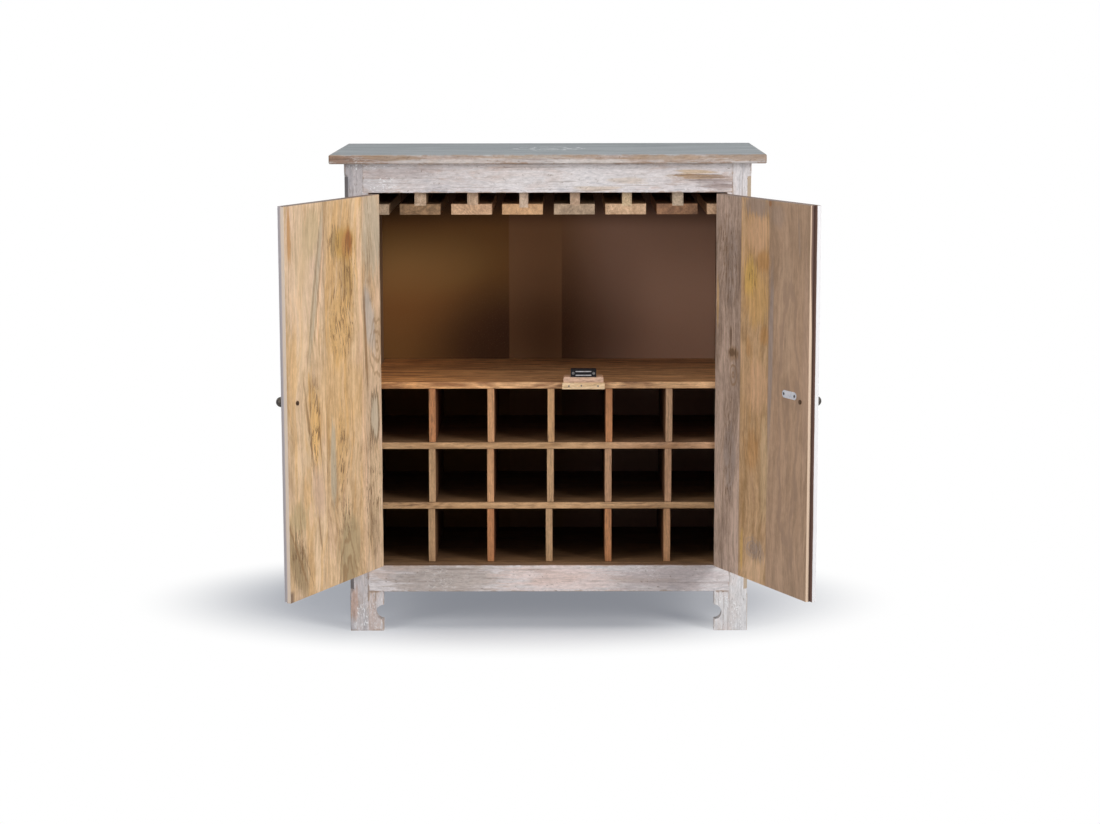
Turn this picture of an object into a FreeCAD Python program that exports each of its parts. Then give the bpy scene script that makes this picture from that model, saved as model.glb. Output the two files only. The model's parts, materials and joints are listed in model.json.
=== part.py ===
import FreeCAD, Part
import math
import os

# Wine cabinet standing with both doors open, in millimetres.
# It is drawn with x across the cabinet, y running back from the face of the front posts and z up from the floor.
# The last step moves everything so that the origin is under the middle of the whole outline.

# Overall sizes
top_width = 900.0
top_depth = 470.0
top_thickness = 19.0
top_overhang = 29.0
cabinet_height = 1010.0
top_ease = 2.0
board_ease = 0.7

# Posts and feet
post_side = 38.5
post_chamfer = 8.5
chamfer_foot = 78.0
chamfer_head = 16.0
chamfer_stop_run = 12.0
chamfer_tip = 0.3
bracket_width = 32.0
bracket_thickness = 22.0
bracket_notch_radius = 16.4
bracket_notch_height = 39.9

# Rails between the posts
rail_thickness = 22.0
frieze_height = 61.0
bottom_rail_low = 85.0
bottom_rail_height = 57.0
jamb_width = 11.5

# Side boards and back
side_board_thickness = 22.0
back_panel_thickness = 6.0
back_batten_thickness = 10.0

# Bottle rack
shelf_thickness = 14.0
shelf_setback = 34.0
row_pitch = 129.0
row_count = 3
column_count = 6
divider_thickness = 14.5
divider_setback = 2.0

# How far each divider stands right of its even place, as shares of the column pitch, lowest row first
divider_shift_shares = (
    (-0.010, 0.002, 0.008, 0.022, 0.034),
    (0.006, 0.006, 0.032, 0.023, 0.049),
    (0.016, 0.018, 0.045, 0.035, 0.061),
)

# Stem rack under the top
stem_rail_count = 6
stem_slot_width = 21.0
stem_side_slot_width = 23.5
stem_flange_height = 22.3
stem_web_width = 24.0
stem_web_height = 86.5
stem_setback = 30.0

# The stem rails were set by hand. From left to right: the rail's shift as shares of the slot, the web's shift as
# shares of the strip's width, the web's own width as shares of the full web, and its housing in the strip as
# shares of the strip's height.
stem_shift_shares = (-0.07, 0.0, 0.0, 0.10, 0.14, 0.20)
web_shift_shares = (0.010, 0.027, 0.034, 0.017, 0.032, 0.017)
web_width_shares = (1.0, 0.92, 0.75, 0.85, 0.83, 0.95)
web_housing_shares = (0.13, 0.08, 0.33, 0.13, 0.17, 0.17)

# Doors
door_thickness = 19.0
door_hinge_gap = 2.0
door_top_gap = 1.5
door_bottom_gap = 2.0
meeting_overlap = 8.0
meeting_gap = 1.5
meeting_face_gap = 0.5
left_door_angle = 115.35
right_door_angle = 116.34

# Butt hinges
hinge_length = 76.0
hinge_end_distance = 102.0
leaf_thickness = 1.8
pin_forward = 6.0
pin_radius = 2.4
knuckle_radius = 4.5
knuckle_count = 5
knuckle_gap = 0.3
leaf_relief = 0.4
running_clearance = 0.05
pin_head_height = 1.6
pin_head_radius = 3.6

# Knobs and their bolts
knob_above_middle = 4.0
knob_edge_distance = 33.0
knob_rose_radius = 8.0
knob_rose_height = 3.0
knob_neck_radius = 4.6
knob_neck_height = 9.0
knob_radius = 10.5
knob_projection = 26.0
bolt_radius = 2.5
bolt_hole_clearance = 0.3
bolt_nut_radius = 4.5
bolt_nut_height = 2.4

# Magnetic catch
catch_across = 74.0
catch_strip_length = 90.0
catch_strip_thickness = 12.0
catch_block_length = 84.0
catch_block_height = 12.0
catch_block_depth = 34.0
catch_block_setback = 2.0
catch_block_bevel = 3.0
catch_body_length = 54.0
catch_body_height = 16.0
catch_body_depth = 22.0
catch_body_round = 4.0
catch_screw_edge = 5.5
catch_pole_length = 33.0
catch_pole_height = 2.0
catch_pole_thickness = 1.6
catch_pole_spacing = 8.0
catch_air_gap = 0.5
strike_length = 52.0
strike_height = 15.0
strike_thickness = 1.2
small_screw_radius = 3.0
small_screw_height = 0.8
small_screw_ease = 0.35
strike_screw_spacing = 40.0
strike_round_share = 0.48
along_axis_share = 0.5

# One overrun for every cut that has to pass a face
overrun = 5.0

# Sizes that follow from the ones above
half_top = top_width / 2
carcass_half = half_top - top_overhang
carcass_depth = top_depth - 2 * top_overhang
post_top = cabinet_height - top_thickness
post_inner = carcass_half - post_side
opening_half = post_inner - jamb_width
frieze_low = post_top - frieze_height
bottom_rail_top = bottom_rail_low + bottom_rail_height
back_post_front = carcass_depth - post_side
back_panel_front = carcass_depth - back_batten_thickness - back_panel_thickness
side_board_outer = opening_half + side_board_thickness
column_pitch = 2 * opening_half / column_count
stem_pitch = 2 * opening_half / (stem_rail_count + 1)
stem_flange_width = stem_pitch - stem_slot_width
stem_strip_width = (stem_pitch + stem_slot_width) / 2 - stem_side_slot_width
stem_flange_top = post_top - stem_web_height
stem_flange_low = stem_flange_top - stem_flange_height
door_low = bottom_rail_top + door_bottom_gap
door_top = frieze_low - door_top_gap
door_hinge_edge = opening_half - door_hinge_gap
knob_height = (door_low + door_top) / 2 + knob_above_middle
pin_across = opening_half - door_hinge_gap / 2
hinge_lows = (door_low + hinge_end_distance, door_top - hinge_end_distance - hinge_length)
high_shelf_top = bottom_rail_top + row_count * row_pitch
catch_block_low = high_shelf_top
catch_body_low = catch_block_low + catch_block_height
catch_middle = catch_body_low + catch_body_height / 2
catch_body_front = door_thickness + strike_thickness + catch_air_gap + catch_pole_thickness

UP = FreeCAD.Vector(0, 0, 1)
ACROSS = FreeCAD.Vector(1, 0, 0)
FORWARD = FreeCAD.Vector(0, -1, 0)
BACK = FreeCAD.Vector(0, 1, 0)
ORIGIN = FreeCAD.Vector(0, 0, 0)


def block(x_span, y_span, z_span):
    """Plain rectangular block between two limits along each axis."""
    corner = FreeCAD.Vector(x_span[0], y_span[0], z_span[0])
    sides = (x_span[1] - x_span[0], y_span[1] - y_span[0], z_span[1] - z_span[0])
    return Part.makeBox(sides[0], sides[1], sides[2], corner)


def board(x_span, y_span, z_span, ease=board_ease):
    """Wooden board with every edge eased."""
    plain = block(x_span, y_span, z_span)
    return plain.makeChamfer(ease, plain.Edges)


def mirrored(shape):
    """The same piece on the other side of the cabinet."""
    return shape.mirror(ORIGIN, ACROSS)


def rod(radius, length, start, along):
    """Round bar from a point along a direction."""
    return Part.makeCylinder(radius, length, start, along)


def swung(shape, side):
    """Turn a closed door piece about its hinge pin to the open position; side is -1 on the left, 1 on the right."""
    angle = right_door_angle if side > 0 else -left_door_angle
    turned = shape.copy()
    turned.rotate(FreeCAD.Vector(side * pin_across, -pin_forward, 0), UP, angle)
    return turned


def top_panel():
    return board((-half_top, half_top), (-top_overhang, top_depth - top_overhang),
                 (post_top, cabinet_height), top_ease)


def chamfer_ring(leg, height):
    """Triangle at the outer front corner of the left post, at one height."""
    corner = FreeCAD.Vector(-carcass_half - chamfer_tip, -chamfer_tip, height)
    along_x = FreeCAD.Vector(-carcass_half + leg, -chamfer_tip, height)
    along_y = FreeCAD.Vector(-carcass_half - chamfer_tip, leg, height)
    return Part.makePolygon([corner, along_x, along_y, corner])


def front_post():
    """Left front post with a stopped chamfer on its outer front corner."""
    post = board((-carcass_half, -post_inner), (0, post_side), (0, post_top))
    low = chamfer_foot
    high = post_top - chamfer_head
    rings = [chamfer_ring(chamfer_tip, low), chamfer_ring(post_chamfer, low + chamfer_stop_run),
             chamfer_ring(post_chamfer, high - chamfer_stop_run), chamfer_ring(chamfer_tip, high)]
    return post.cut(Part.makeLoft(rings, True, True))


def back_post():
    return board((-carcass_half, -post_inner), (back_post_front, carcass_depth), (0, post_top))


def bracket():
    """Left foot bracket: a block with a half-round notch in its inner side."""
    inner = -post_inner + bracket_width
    plain = board((-post_inner, inner), (0, bracket_thickness), (0, bottom_rail_low))
    start = FreeCAD.Vector(inner, -overrun, bracket_notch_height)
    return plain.cut(rod(bracket_notch_radius, bracket_thickness + 2 * overrun, start, BACK))


def front_rail(low, high):
    return board((-post_inner, post_inner), (0, rail_thickness), (low, high))


def back_rail(low, high):
    return board((-post_inner, post_inner), (carcass_depth - back_batten_thickness, carcass_depth), (low, high))


def side_rail(low, high):
    return board((-carcass_half, -side_board_outer), (post_side, back_post_front), (low, high))


def jamb():
    """Left hinge strip, let in for the frame leaves of its two hinges."""
    strip = board((-post_inner, -opening_half), (0, post_side), (bottom_rail_top, frieze_low))
    for low in hinge_lows:
        seat = block((-opening_half - leaf_thickness, -opening_half + overrun), (-overrun, door_thickness),
                     (low, low + hinge_length))
        strip = strip.cut(seat)
    return strip


def side_board():
    return board((-side_board_outer, -opening_half), (post_side, back_post_front), (bottom_rail_low, post_top))


def back_panel():
    return block((-post_inner, post_inner), (back_panel_front, back_panel_front + back_panel_thickness),
                 (bottom_rail_low, post_top))


def deck():
    return board((-opening_half, opening_half), (rail_thickness, back_panel_front),
                 (bottom_rail_top - shelf_thickness, bottom_rail_top))


def shelf(row):
    top = bottom_rail_top + row * row_pitch
    return board((-opening_half, opening_half), (shelf_setback, back_panel_front), (top - shelf_thickness, top))


def dividers(row):
    """The upright boards of one row of bottle cells, spaced a little unevenly by hand."""
    row_shares = divider_shift_shares[(row - 1) % len(divider_shift_shares)]
    low = bottom_rail_top + (row - 1) * row_pitch
    high = bottom_rail_top + row * row_pitch - shelf_thickness
    boards = []
    for column in range(1, column_count):
        shift_share = row_shares[(column - 1) % len(row_shares)]
        middle = -opening_half + (column + shift_share) * column_pitch
        x_span = (middle - divider_thickness / 2, middle + divider_thickness / 2)
        boards.append(board(x_span, (shelf_setback + divider_setback, back_panel_front), (low, high)))
    return Part.makeCompound(boards)


def stem_rail(index):
    """One rail of the stem rack: a wide strip hung on a narrow web that is let into its upper face."""
    place = (index - 1) % len(stem_shift_shares)
    middle = -opening_half + index * stem_pitch + stem_shift_shares[place] * stem_slot_width
    web_middle = middle + web_shift_shares[place] * stem_flange_width
    web_half = web_width_shares[place] * stem_web_width / 2
    web_low = stem_flange_top - web_housing_shares[place] * stem_flange_height
    y_span = (stem_setback, back_panel_front)
    flange = board((middle - stem_flange_width / 2, middle + stem_flange_width / 2), y_span,
                   (stem_flange_low, stem_flange_top))
    web = block((web_middle - web_half, web_middle + web_half), y_span, (web_low, post_top))
    return Part.makeCompound([flange.cut(web), web])


def stem_strip():
    return board((-opening_half, -opening_half + stem_strip_width), (stem_setback, back_panel_front),
                 (stem_flange_low, stem_flange_top))


def door(side):
    """Closed door with its half-lapped meeting edge, hinge seats and bolt hole; the left lip is the inner half."""
    middle = door_thickness / 2
    lip = meeting_overlap / 2
    long_reach = lip - meeting_gap / 2
    short_reach = -lip - meeting_gap / 2
    panel = board((-door_hinge_edge, long_reach), (0, door_thickness), (door_low, door_top))
    if side < 0:
        cut_span = (-overrun, middle + meeting_face_gap / 2)
    else:
        cut_span = (middle - meeting_face_gap / 2, door_thickness + overrun)
    z_cut = (door_low - overrun, door_top + overrun)
    panel = panel.cut(block((short_reach, long_reach + overrun), cut_span, z_cut))
    for low in hinge_lows:
        seat = block((-door_hinge_edge - overrun, -door_hinge_edge + leaf_thickness),
                     (-overrun, door_thickness + overrun), (low, low + hinge_length))
        panel = panel.cut(seat)
    hole_start = FreeCAD.Vector(-knob_edge_distance, -overrun, knob_height)
    hole = rod(bolt_radius + bolt_hole_clearance, door_thickness + 2 * overrun, hole_start, BACK)
    panel = panel.cut(hole)
    return mirrored(panel) if side > 0 else panel


def knuckle_spans(low, first):
    """Height limits of every second knuckle of a hinge, counted from the one named first."""
    pitch = hinge_length / knuckle_count
    return [(low + index * pitch, low + (index + 1) * pitch) for index in range(first, knuckle_count, 2)]


def hinge_leaf(low, first, x_span, bore_radius):
    """One leaf of a left hinge: a plate with its own knuckles, relieved round the other leaf's knuckles."""
    plate = block(x_span, (-pin_forward, door_thickness), (low, low + hinge_length))
    axis_x = -pin_across
    for bottom, top in knuckle_spans(low, 1 - first):
        start = FreeCAD.Vector(axis_x, -pin_forward, bottom - knuckle_gap / 2)
        plate = plate.cut(rod(knuckle_radius + leaf_relief, top - bottom + knuckle_gap, start, UP))
    for bottom, top in knuckle_spans(low, first):
        start = FreeCAD.Vector(axis_x, -pin_forward, bottom + knuckle_gap / 2)
        plate = plate.fuse(rod(knuckle_radius, top - bottom - knuckle_gap, start, UP))
    bore_start = FreeCAD.Vector(axis_x, -pin_forward, low - overrun)
    return plate.cut(rod(bore_radius, hinge_length + 2 * overrun, bore_start, UP))


def frame_leaves():
    span = (-opening_half - leaf_thickness, -opening_half)
    return Part.makeCompound([hinge_leaf(low, 0, span, pin_radius) for low in hinge_lows])


def door_leaves():
    span = (-door_hinge_edge, -door_hinge_edge + leaf_thickness)
    return Part.makeCompound([hinge_leaf(low, 1, span, pin_radius + running_clearance) for low in hinge_lows])


def hinge_pins():
    """The left pair of hinge pins, each with a head resting on its top knuckle."""
    pins = []
    for low in hinge_lows:
        start = FreeCAD.Vector(-pin_across, -pin_forward, low)
        head_start = FreeCAD.Vector(-pin_across, -pin_forward, low + hinge_length - knuckle_gap / 2)
        shank = rod(pin_radius, hinge_length, start, UP)
        pins.append(shank.fuse(rod(pin_head_radius, pin_head_height, head_start, UP)))
    return Part.makeCompound(pins)


def knob():
    """Left knob standing on the face of the closed door: a flat rose, a neck and a rounded head."""
    start = FreeCAD.Vector(-knob_edge_distance, 0, knob_height)
    rose = rod(knob_rose_radius, knob_rose_height, start, FORWARD)
    neck = rod(knob_neck_radius, knob_neck_height, start, FORWARD)
    head_reach = knob_projection - knob_neck_height + knob_rose_height
    head_middle = FreeCAD.Vector(-knob_edge_distance, -knob_projection + knob_radius, knob_height)
    head = Part.makeSphere(knob_radius, head_middle)
    front_start = FreeCAD.Vector(-knob_edge_distance, -knob_projection + head_reach, knob_height)
    head = head.common(rod(knob_radius + overrun, head_reach, front_start, FORWARD))
    return rose.fuse(neck).fuse(head).removeSplitter()


def knob_bolt():
    """Bolt of the left knob, through the door to a round nut on the inner face."""
    start = FreeCAD.Vector(-knob_edge_distance, 0, knob_height)
    shank = rod(bolt_radius, door_thickness, start, BACK)
    nut_start = FreeCAD.Vector(-knob_edge_distance, door_thickness, knob_height)
    return shank.fuse(rod(bolt_nut_radius, bolt_nut_height, nut_start, BACK))


def catch_strip():
    half = catch_strip_length / 2
    return board((catch_across - half, catch_across + half),
                 (shelf_setback - catch_strip_thickness, shelf_setback),
                 (high_shelf_top - shelf_thickness, high_shelf_top))


def catch_block():
    """Raising block of the catch, with its two upper ends bevelled."""
    half = catch_block_length / 2
    front = shelf_setback - catch_strip_thickness + catch_block_setback
    plain = block((catch_across - half, catch_across + half), (front, front + catch_block_depth),
                  (catch_block_low, catch_body_low))
    ends = []
    for edge in plain.Edges:
        middle = edge.CenterOfMass
        if abs(edge.tangentAt(edge.FirstParameter).y) > abs(edge.tangentAt(edge.FirstParameter).x):
            if middle.z > catch_block_low + catch_block_height / 2:
                ends.append(edge)
    return plain.makeChamfer(catch_block_bevel, ends)


def catch_body():
    """Housing of the magnet, with rounded upright corners."""
    half = catch_body_length / 2
    plain = block((catch_across - half, catch_across + half),
                  (catch_body_front, catch_body_front + catch_body_depth),
                  (catch_body_low, catch_body_low + catch_body_height))
    corners = [edge for edge in plain.Edges if abs(edge.tangentAt(edge.FirstParameter).z) > along_axis_share]
    rear = catch_body_front + catch_body_depth / 2
    return plain.makeFillet(catch_body_round, [edge for edge in corners if edge.CenterOfMass.y > rear])


def catch_poles():
    """Two steel strips on the face of the magnet."""
    half = catch_pole_length / 2
    strips = []
    for side in (-1, 1):
        middle = catch_middle + side * catch_pole_spacing / 2
        strips.append(block((catch_across - half, catch_across + half),
                            (catch_body_front - catch_pole_thickness, catch_body_front),
                            (middle - catch_pole_height / 2, middle + catch_pole_height / 2)))
    return Part.makeCompound(strips)


def screw_head(start, along):
    """Low round screw head standing on a flat face."""
    head = rod(small_screw_radius, small_screw_height, start, along)
    rims = [edge for edge in head.Edges if edge.Curve.TypeId == "Part::GeomCircle"
            and (edge.CenterOfMass - start).dot(along) > small_screw_height / 2]
    return head.makeChamfer(small_screw_ease, rims)


def catch_screws():
    reach = catch_body_length / 2 - catch_screw_edge
    heads = []
    for side in (-1, 1):
        start = FreeCAD.Vector(catch_across + side * reach, catch_body_front, catch_middle)
        heads.append(screw_head(start, FORWARD))
    return Part.makeCompound(heads)


def strike_plate():
    """Round-ended plate on the inner face of the closed right door."""
    half = strike_length / 2
    plain = block((catch_across - half, catch_across + half),
                  (door_thickness, door_thickness + strike_thickness),
                  (catch_middle - strike_height / 2, catch_middle + strike_height / 2))
    corners = [edge for edge in plain.Edges if abs(edge.tangentAt(edge.FirstParameter).y) > along_axis_share]
    return plain.makeFillet(strike_height * strike_round_share, corners)


def strike_screws():
    face = door_thickness + strike_thickness
    heads = []
    for side in (-1, 1):
        start = FreeCAD.Vector(catch_across + side * strike_screw_spacing / 2, face, catch_middle)
        heads.append(screw_head(start, BACK))
    return Part.makeCompound(heads)


def all_pieces():
    """Every piece by name, in the drawn position with both doors open."""
    pieces = {"top_panel": top_panel()}
    pairs = {
        "post_front": front_post(),
        "post_back": back_post(),
        "bracket": bracket(),
        "side_top_rail": side_rail(frieze_low, post_top),
        "side_bottom_rail": side_rail(bottom_rail_low, bottom_rail_top),
        "jamb": jamb(),
        "side_board": side_board(),
        "stem_strip": stem_strip(),
        "frame_leaves": frame_leaves(),
        "hinge_pins": hinge_pins(),
    }
    for name, shape in pairs.items():
        pieces[name + "_l"] = shape
        pieces[name + "_r"] = mirrored(shape)
    pieces["frieze_rail"] = front_rail(frieze_low, post_top)
    pieces["bottom_rail"] = front_rail(bottom_rail_low, bottom_rail_top)
    pieces["back_top_rail"] = back_rail(frieze_low, post_top)
    pieces["back_bottom_rail"] = back_rail(bottom_rail_low, bottom_rail_top)
    pieces["back_panel"] = back_panel()
    pieces["deck"] = deck()
    for row in range(1, row_count + 1):
        pieces["shelf_%d" % row] = shelf(row)
        pieces["dividers_%d" % row] = dividers(row)
    for index in range(1, stem_rail_count + 1):
        pieces["stem_rail_%d" % index] = stem_rail(index)
    pieces["catch_strip"] = catch_strip()
    pieces["catch_block"] = catch_block()
    pieces["catch_body"] = catch_body()
    pieces["catch_poles"] = catch_poles()
    pieces["catch_screws"] = catch_screws()
    moving = {"door_leaves": door_leaves(), "knob": knob(), "knob_bolt": knob_bolt()}
    for side, letter in ((-1, "l"), (1, "r")):
        pieces["door_" + letter] = swung(door(side), side)
        for name, shape in moving.items():
            closed = mirrored(shape) if side > 0 else shape
            pieces[name + "_" + letter] = swung(closed, side)
    pieces["strike_plate"] = swung(strike_plate(), 1)
    pieces["strike_screws"] = swung(strike_screws(), 1)
    return pieces


def outline_middle(pieces):
    """Middle of the whole outline on the floor, doors and knobs included."""
    outline = FreeCAD.BoundBox()
    for shape in pieces.values():
        outline.add(shape.optimalBoundingBox(False, False))
    return FreeCAD.Vector(outline.Center.x, outline.Center.y, 0)


os.makedirs("parts", exist_ok=True)
drawn = all_pieces()
origin_shift = outline_middle(drawn)
for node, shape in drawn.items():
    placed = shape.copy()
    placed.translate(-origin_shift)
    placed.exportStep("parts/" + node + ".step")
print("pieces", len(drawn), "origin moved by", origin_shift)
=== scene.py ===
# %% [markdown]
# # A whitewashed wine cabinet
# The solids of the cabinet come in as a fixed frame: every board, hinge leaf and knob is already in its
# place. This lesson gives each board its own wood, wash and wear, adds the small turned and pressed pieces
# that the solids leave plain, and sets up the studio. Everything is in metres, with +Z up and the open
# front facing -Y.

import json
import math

import bmesh
import bpy
import numpy as np
from mathutils import Matrix, Vector


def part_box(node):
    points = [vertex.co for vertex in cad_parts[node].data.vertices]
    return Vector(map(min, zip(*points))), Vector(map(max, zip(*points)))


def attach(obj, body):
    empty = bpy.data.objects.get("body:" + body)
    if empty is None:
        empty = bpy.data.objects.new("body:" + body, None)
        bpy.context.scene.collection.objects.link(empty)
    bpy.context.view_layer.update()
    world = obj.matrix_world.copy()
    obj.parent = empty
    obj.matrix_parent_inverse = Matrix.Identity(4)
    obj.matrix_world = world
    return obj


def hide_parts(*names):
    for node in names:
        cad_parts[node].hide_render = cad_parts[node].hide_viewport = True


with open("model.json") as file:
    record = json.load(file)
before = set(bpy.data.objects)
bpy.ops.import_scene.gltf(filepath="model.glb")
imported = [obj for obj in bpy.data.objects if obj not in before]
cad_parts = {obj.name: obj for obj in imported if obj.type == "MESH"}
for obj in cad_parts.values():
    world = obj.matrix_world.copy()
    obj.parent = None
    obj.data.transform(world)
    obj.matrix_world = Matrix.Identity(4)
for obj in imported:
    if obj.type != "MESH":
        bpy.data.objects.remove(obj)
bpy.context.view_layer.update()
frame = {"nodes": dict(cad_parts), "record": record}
nodes = frame["nodes"]
record = frame["record"]
print("boards and fittings:", len(nodes))

# %% [markdown]
# ## A short way to write shader nodes
# A procedural finish is a small graph. Written out node by node it is long and hard to read, so one helper
# adds a node, fills its sockets from numbers or from other sockets, and hands back the output. The
# finishes below then read almost like arithmetic.


# %% Graph helper
class Graph:
    """Adds shader nodes to one tree; a value may be a number, a colour, a vector or another node's output."""

    def __init__(self, tree):
        self.tree = tree

    def feed(self, socket, value):
        if isinstance(value, bpy.types.NodeSocket):
            self.tree.links.new(value, socket)
        elif socket.type == "RGBA" and len(value) == 3:
            socket.default_value = (*value, 1.0)
        else:
            socket.default_value = value

    def add(self, kind, inputs=None, **settings):
        node = self.tree.nodes.new(kind)
        for name, value in settings.items():
            setattr(node, name, value)
        for name, value in (inputs or {}).items():
            self.feed(node.inputs[name], value)
        return node

    def group(self, tree, **values):
        """Places a shader group and fills its sockets; an underscore in a name stands for a space."""
        inputs = {name.replace("_", " "): value for name, value in values.items()}
        return self.add("ShaderNodeGroup", inputs, node_tree=tree).outputs

    def place(self):
        """Object coordinates."""
        return self.add("ShaderNodeTexCoord").outputs["Object"]

    def facing(self):
        """The three parts of the surface's normal, along the object's own axes."""
        return self.split(self.add("ShaderNodeTexCoord").outputs["Normal"])

    def math(self, operation, *values):
        node = self.add("ShaderNodeMath", operation=operation)
        for socket, value in zip(node.inputs, values):
            self.feed(socket, value)
        return node.outputs[0]

    def times(self, first, *others):
        """Product of two or more values."""
        for other in others:
            first = self.math("MULTIPLY", first, other)
        return first

    def weighted(self, start, *parts):
        """Start plus the sum of value * weight over the (value, weight) parts."""
        for value, weight in parts:
            start = self.math("MULTIPLY_ADD", value, weight, start)
        return start

    def vector(self, operation, *values):
        node = self.add("ShaderNodeVectorMath", operation=operation)
        for socket, value in zip(node.inputs, values):
            self.feed(socket, value)
        return node.outputs["Value" if operation == "LENGTH" else "Vector"]

    def moved(self, vector, jump, amount):
        """Vector plus jump times amount."""
        node = self.add("ShaderNodeVectorMath", {"Scale": amount}, operation="SCALE")
        self.feed(node.inputs[0], jump)
        return self.vector("ADD", vector, node.outputs[0])

    def split(self, vector):
        return self.add("ShaderNodeSeparateXYZ", {"Vector": vector}).outputs

    def join(self, x, y, z):
        return self.add("ShaderNodeCombineXYZ", {"X": x, "Y": y, "Z": z}).outputs[0]

    def step(self, value, low, high):
        """0 below low, 1 above high and a smooth rise between; low above high turns it round."""
        names = {"Value": value, "From Min": min(low, high), "From Max": max(low, high)}
        names.update({"To Min": float(low > high), "To Max": float(low < high)})
        return self.add("ShaderNodeMapRange", names, interpolation_type="SMOOTHSTEP").outputs[0]

    def mix(self, share, first, second, blend="MIX"):
        node = self.add("ShaderNodeMix", data_type="RGBA", blend_type=blend)
        for index, value in ((0, share), (6, first), (7, second)):
            self.feed(node.inputs[index], value)
        return node.outputs[2]

    def tint(self, colour, tone, share=1.0):
        """Colour multiplied by a tone, by a share."""
        return self.mix(share, colour, tone, "MULTIPLY")

    def noise(self, vector, stretch, detail=2.0, roughness=0.5, distortion=0.0):
        place = self.vector("MULTIPLY", vector, stretch)
        names = {"Vector": place, "Scale": 1.0, "Detail": detail}
        names.update({"Roughness": roughness, "Distortion": distortion})
        return self.add("ShaderNodeTexNoise", names).outputs[0]

    def spots(self, vector, noise, low, high):
        """Step of a noise, which is given as (stretch, detail, roughness, distortion)."""
        return self.step(self.noise(vector, *noise), low, high)

    def ramp(self, share, stops):
        """Colour ramp through (place, colour) stops."""
        node = self.add("ShaderNodeValToRGB", {"Fac": share})
        elements = node.color_ramp.elements
        while len(elements) < len(stops):
            elements.new(0.5)
        for element, (place, colour) in zip(elements, stops):
            element.position = place
            element.color = (*colour, 1.0)
        return node.outputs[0]


VECTOR_SOCKETS = ("Vector", "Low", "High", "Centre", "Size")


def shader_group(name, takes, gives):
    """New shader group with named sockets; returns its graph, its inputs by name and its output sockets."""
    tree = bpy.data.node_groups.new(name, "ShaderNodeTree")
    for socket in takes:
        kind = "NodeSocketVector" if socket in VECTOR_SOCKETS else "NodeSocketFloat"
        tree.interface.new_socket(socket, in_out="INPUT", socket_type=kind)
    for socket in gives:
        tree.interface.new_socket(socket, in_out="OUTPUT", socket_type="NodeSocketFloat")
    graph = Graph(tree)
    return graph, graph.add("NodeGroupInput").outputs, graph.add("NodeGroupOutput").inputs


# %% [markdown]
# ## Grain
# A plain-sawn board shows growth rings as long arches, fine fibres along its length and short dark pores.
# All of them are noise that is stretched along the board. The arches are the level lines of a slow noise:
# the sine of many times its value draws one line per ring, and the lines close into arches where the noise
# has a hill.

# %% Board grain group
GRAIN_JUMP = (3.7, 5.3, 2.9)
STREAK = ((46.0, 46.0, 3.2), 8.0, 0.72, 0.7)
HILLS = ((9.0, 9.0, 1.6), 3.0, 0.5, 0.3)
FIBRE = ((330.0, 330.0, 12.0), 4.0, 0.75)
TOOTH = ((250.0, 250.0, 70.0), 4.0, 0.8, 0.4)
PORE_DASHES = (((360.0, 360.0, 30.0), 3.0, 0.65), 0.55, 0.62)
PORE_CLUSTERS = (((21.0, 21.0, 5.0), 3.0, 0.6), 0.42, 0.60)


def make_grain_group():
    """Noises stretched along Z, each from 0 to 1: Streak, Rings (level lines of slow hills), Fibre, Pores and
    Tooth, the fine unevenness that a saw or brush leaves."""
    graph, given, made = shader_group(
        "Board grain", ("Vector", "Seed", "Ring Count"), ("Streak", "Rings", "Fibre", "Pores", "Tooth")
    )
    place = graph.moved(given["Vector"], GRAIN_JUMP, given["Seed"])
    for name, noise in (("Streak", STREAK), ("Fibre", FIBRE), ("Tooth", TOOTH)):
        graph.feed(made[name], graph.noise(place, *noise))
    turns = graph.times(graph.noise(place, *HILLS), graph.times(given["Ring Count"], 2 * math.pi))
    graph.feed(made["Rings"], graph.math("MULTIPLY_ADD", graph.math("SINE", turns), 0.5, 0.5))
    pores = graph.times(graph.spots(place, *PORE_DASHES), graph.spots(place, *PORE_CLUSTERS))
    graph.feed(made["Pores"], pores)
    return graph.tree


GRAIN = make_grain_group()
print("group:", GRAIN.name)

# %% [markdown]
# ## White wash and worn arrises
# The frame was brushed with thin white paint and rubbed back along the grain, so brown wood shows in
# streaks and here and there on an edge, and thick paint stays in flecks. Coverage is a threshold on slow
# noise plus fibre. Wear needs the distance to the nearest edge of a board: of the distances to its three
# pairs of faces, the second smallest is that distance, and this works on any box without reading its mesh.

# %% Wash and wear groups
WASH_JUMP = (1.9, 4.1, 3.3)
WASH_SLOW = ((58.0, 58.0, 11.0), 9.0, 0.74, 0.9)
WASH_TINT = ((26.0, 26.0, 6.0), 7.0, 0.7, 0.7)
WASH_SPOTS = {
    "Flecks": (((230.0, 230.0, 120.0), 5.0, 0.75, 1.0), 0.53, 0.60),
    "Thick": (((17.0, 17.0, 10.0), 3.0, 0.6), 0.55, 0.68),
    "Lines": (((210.0, 210.0, 6.0), 4.0, 0.65, 0.4), 0.56, 0.64),
    "Specks": (((220.0, 220.0, 110.0), 4.0, 0.7, 0.6), 0.62, 0.68),
}
COVER_LIMITS, COVER_FIBRE = (0.94, 1.16), 0.45
WEAR_RAGGED = (((38.0, 38.0, 38.0), 5.0, 0.7), 0.38, 0.72)
WEAR_FADE, LEAST_REACH = (1.0, 0.2), 0.0001


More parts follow.
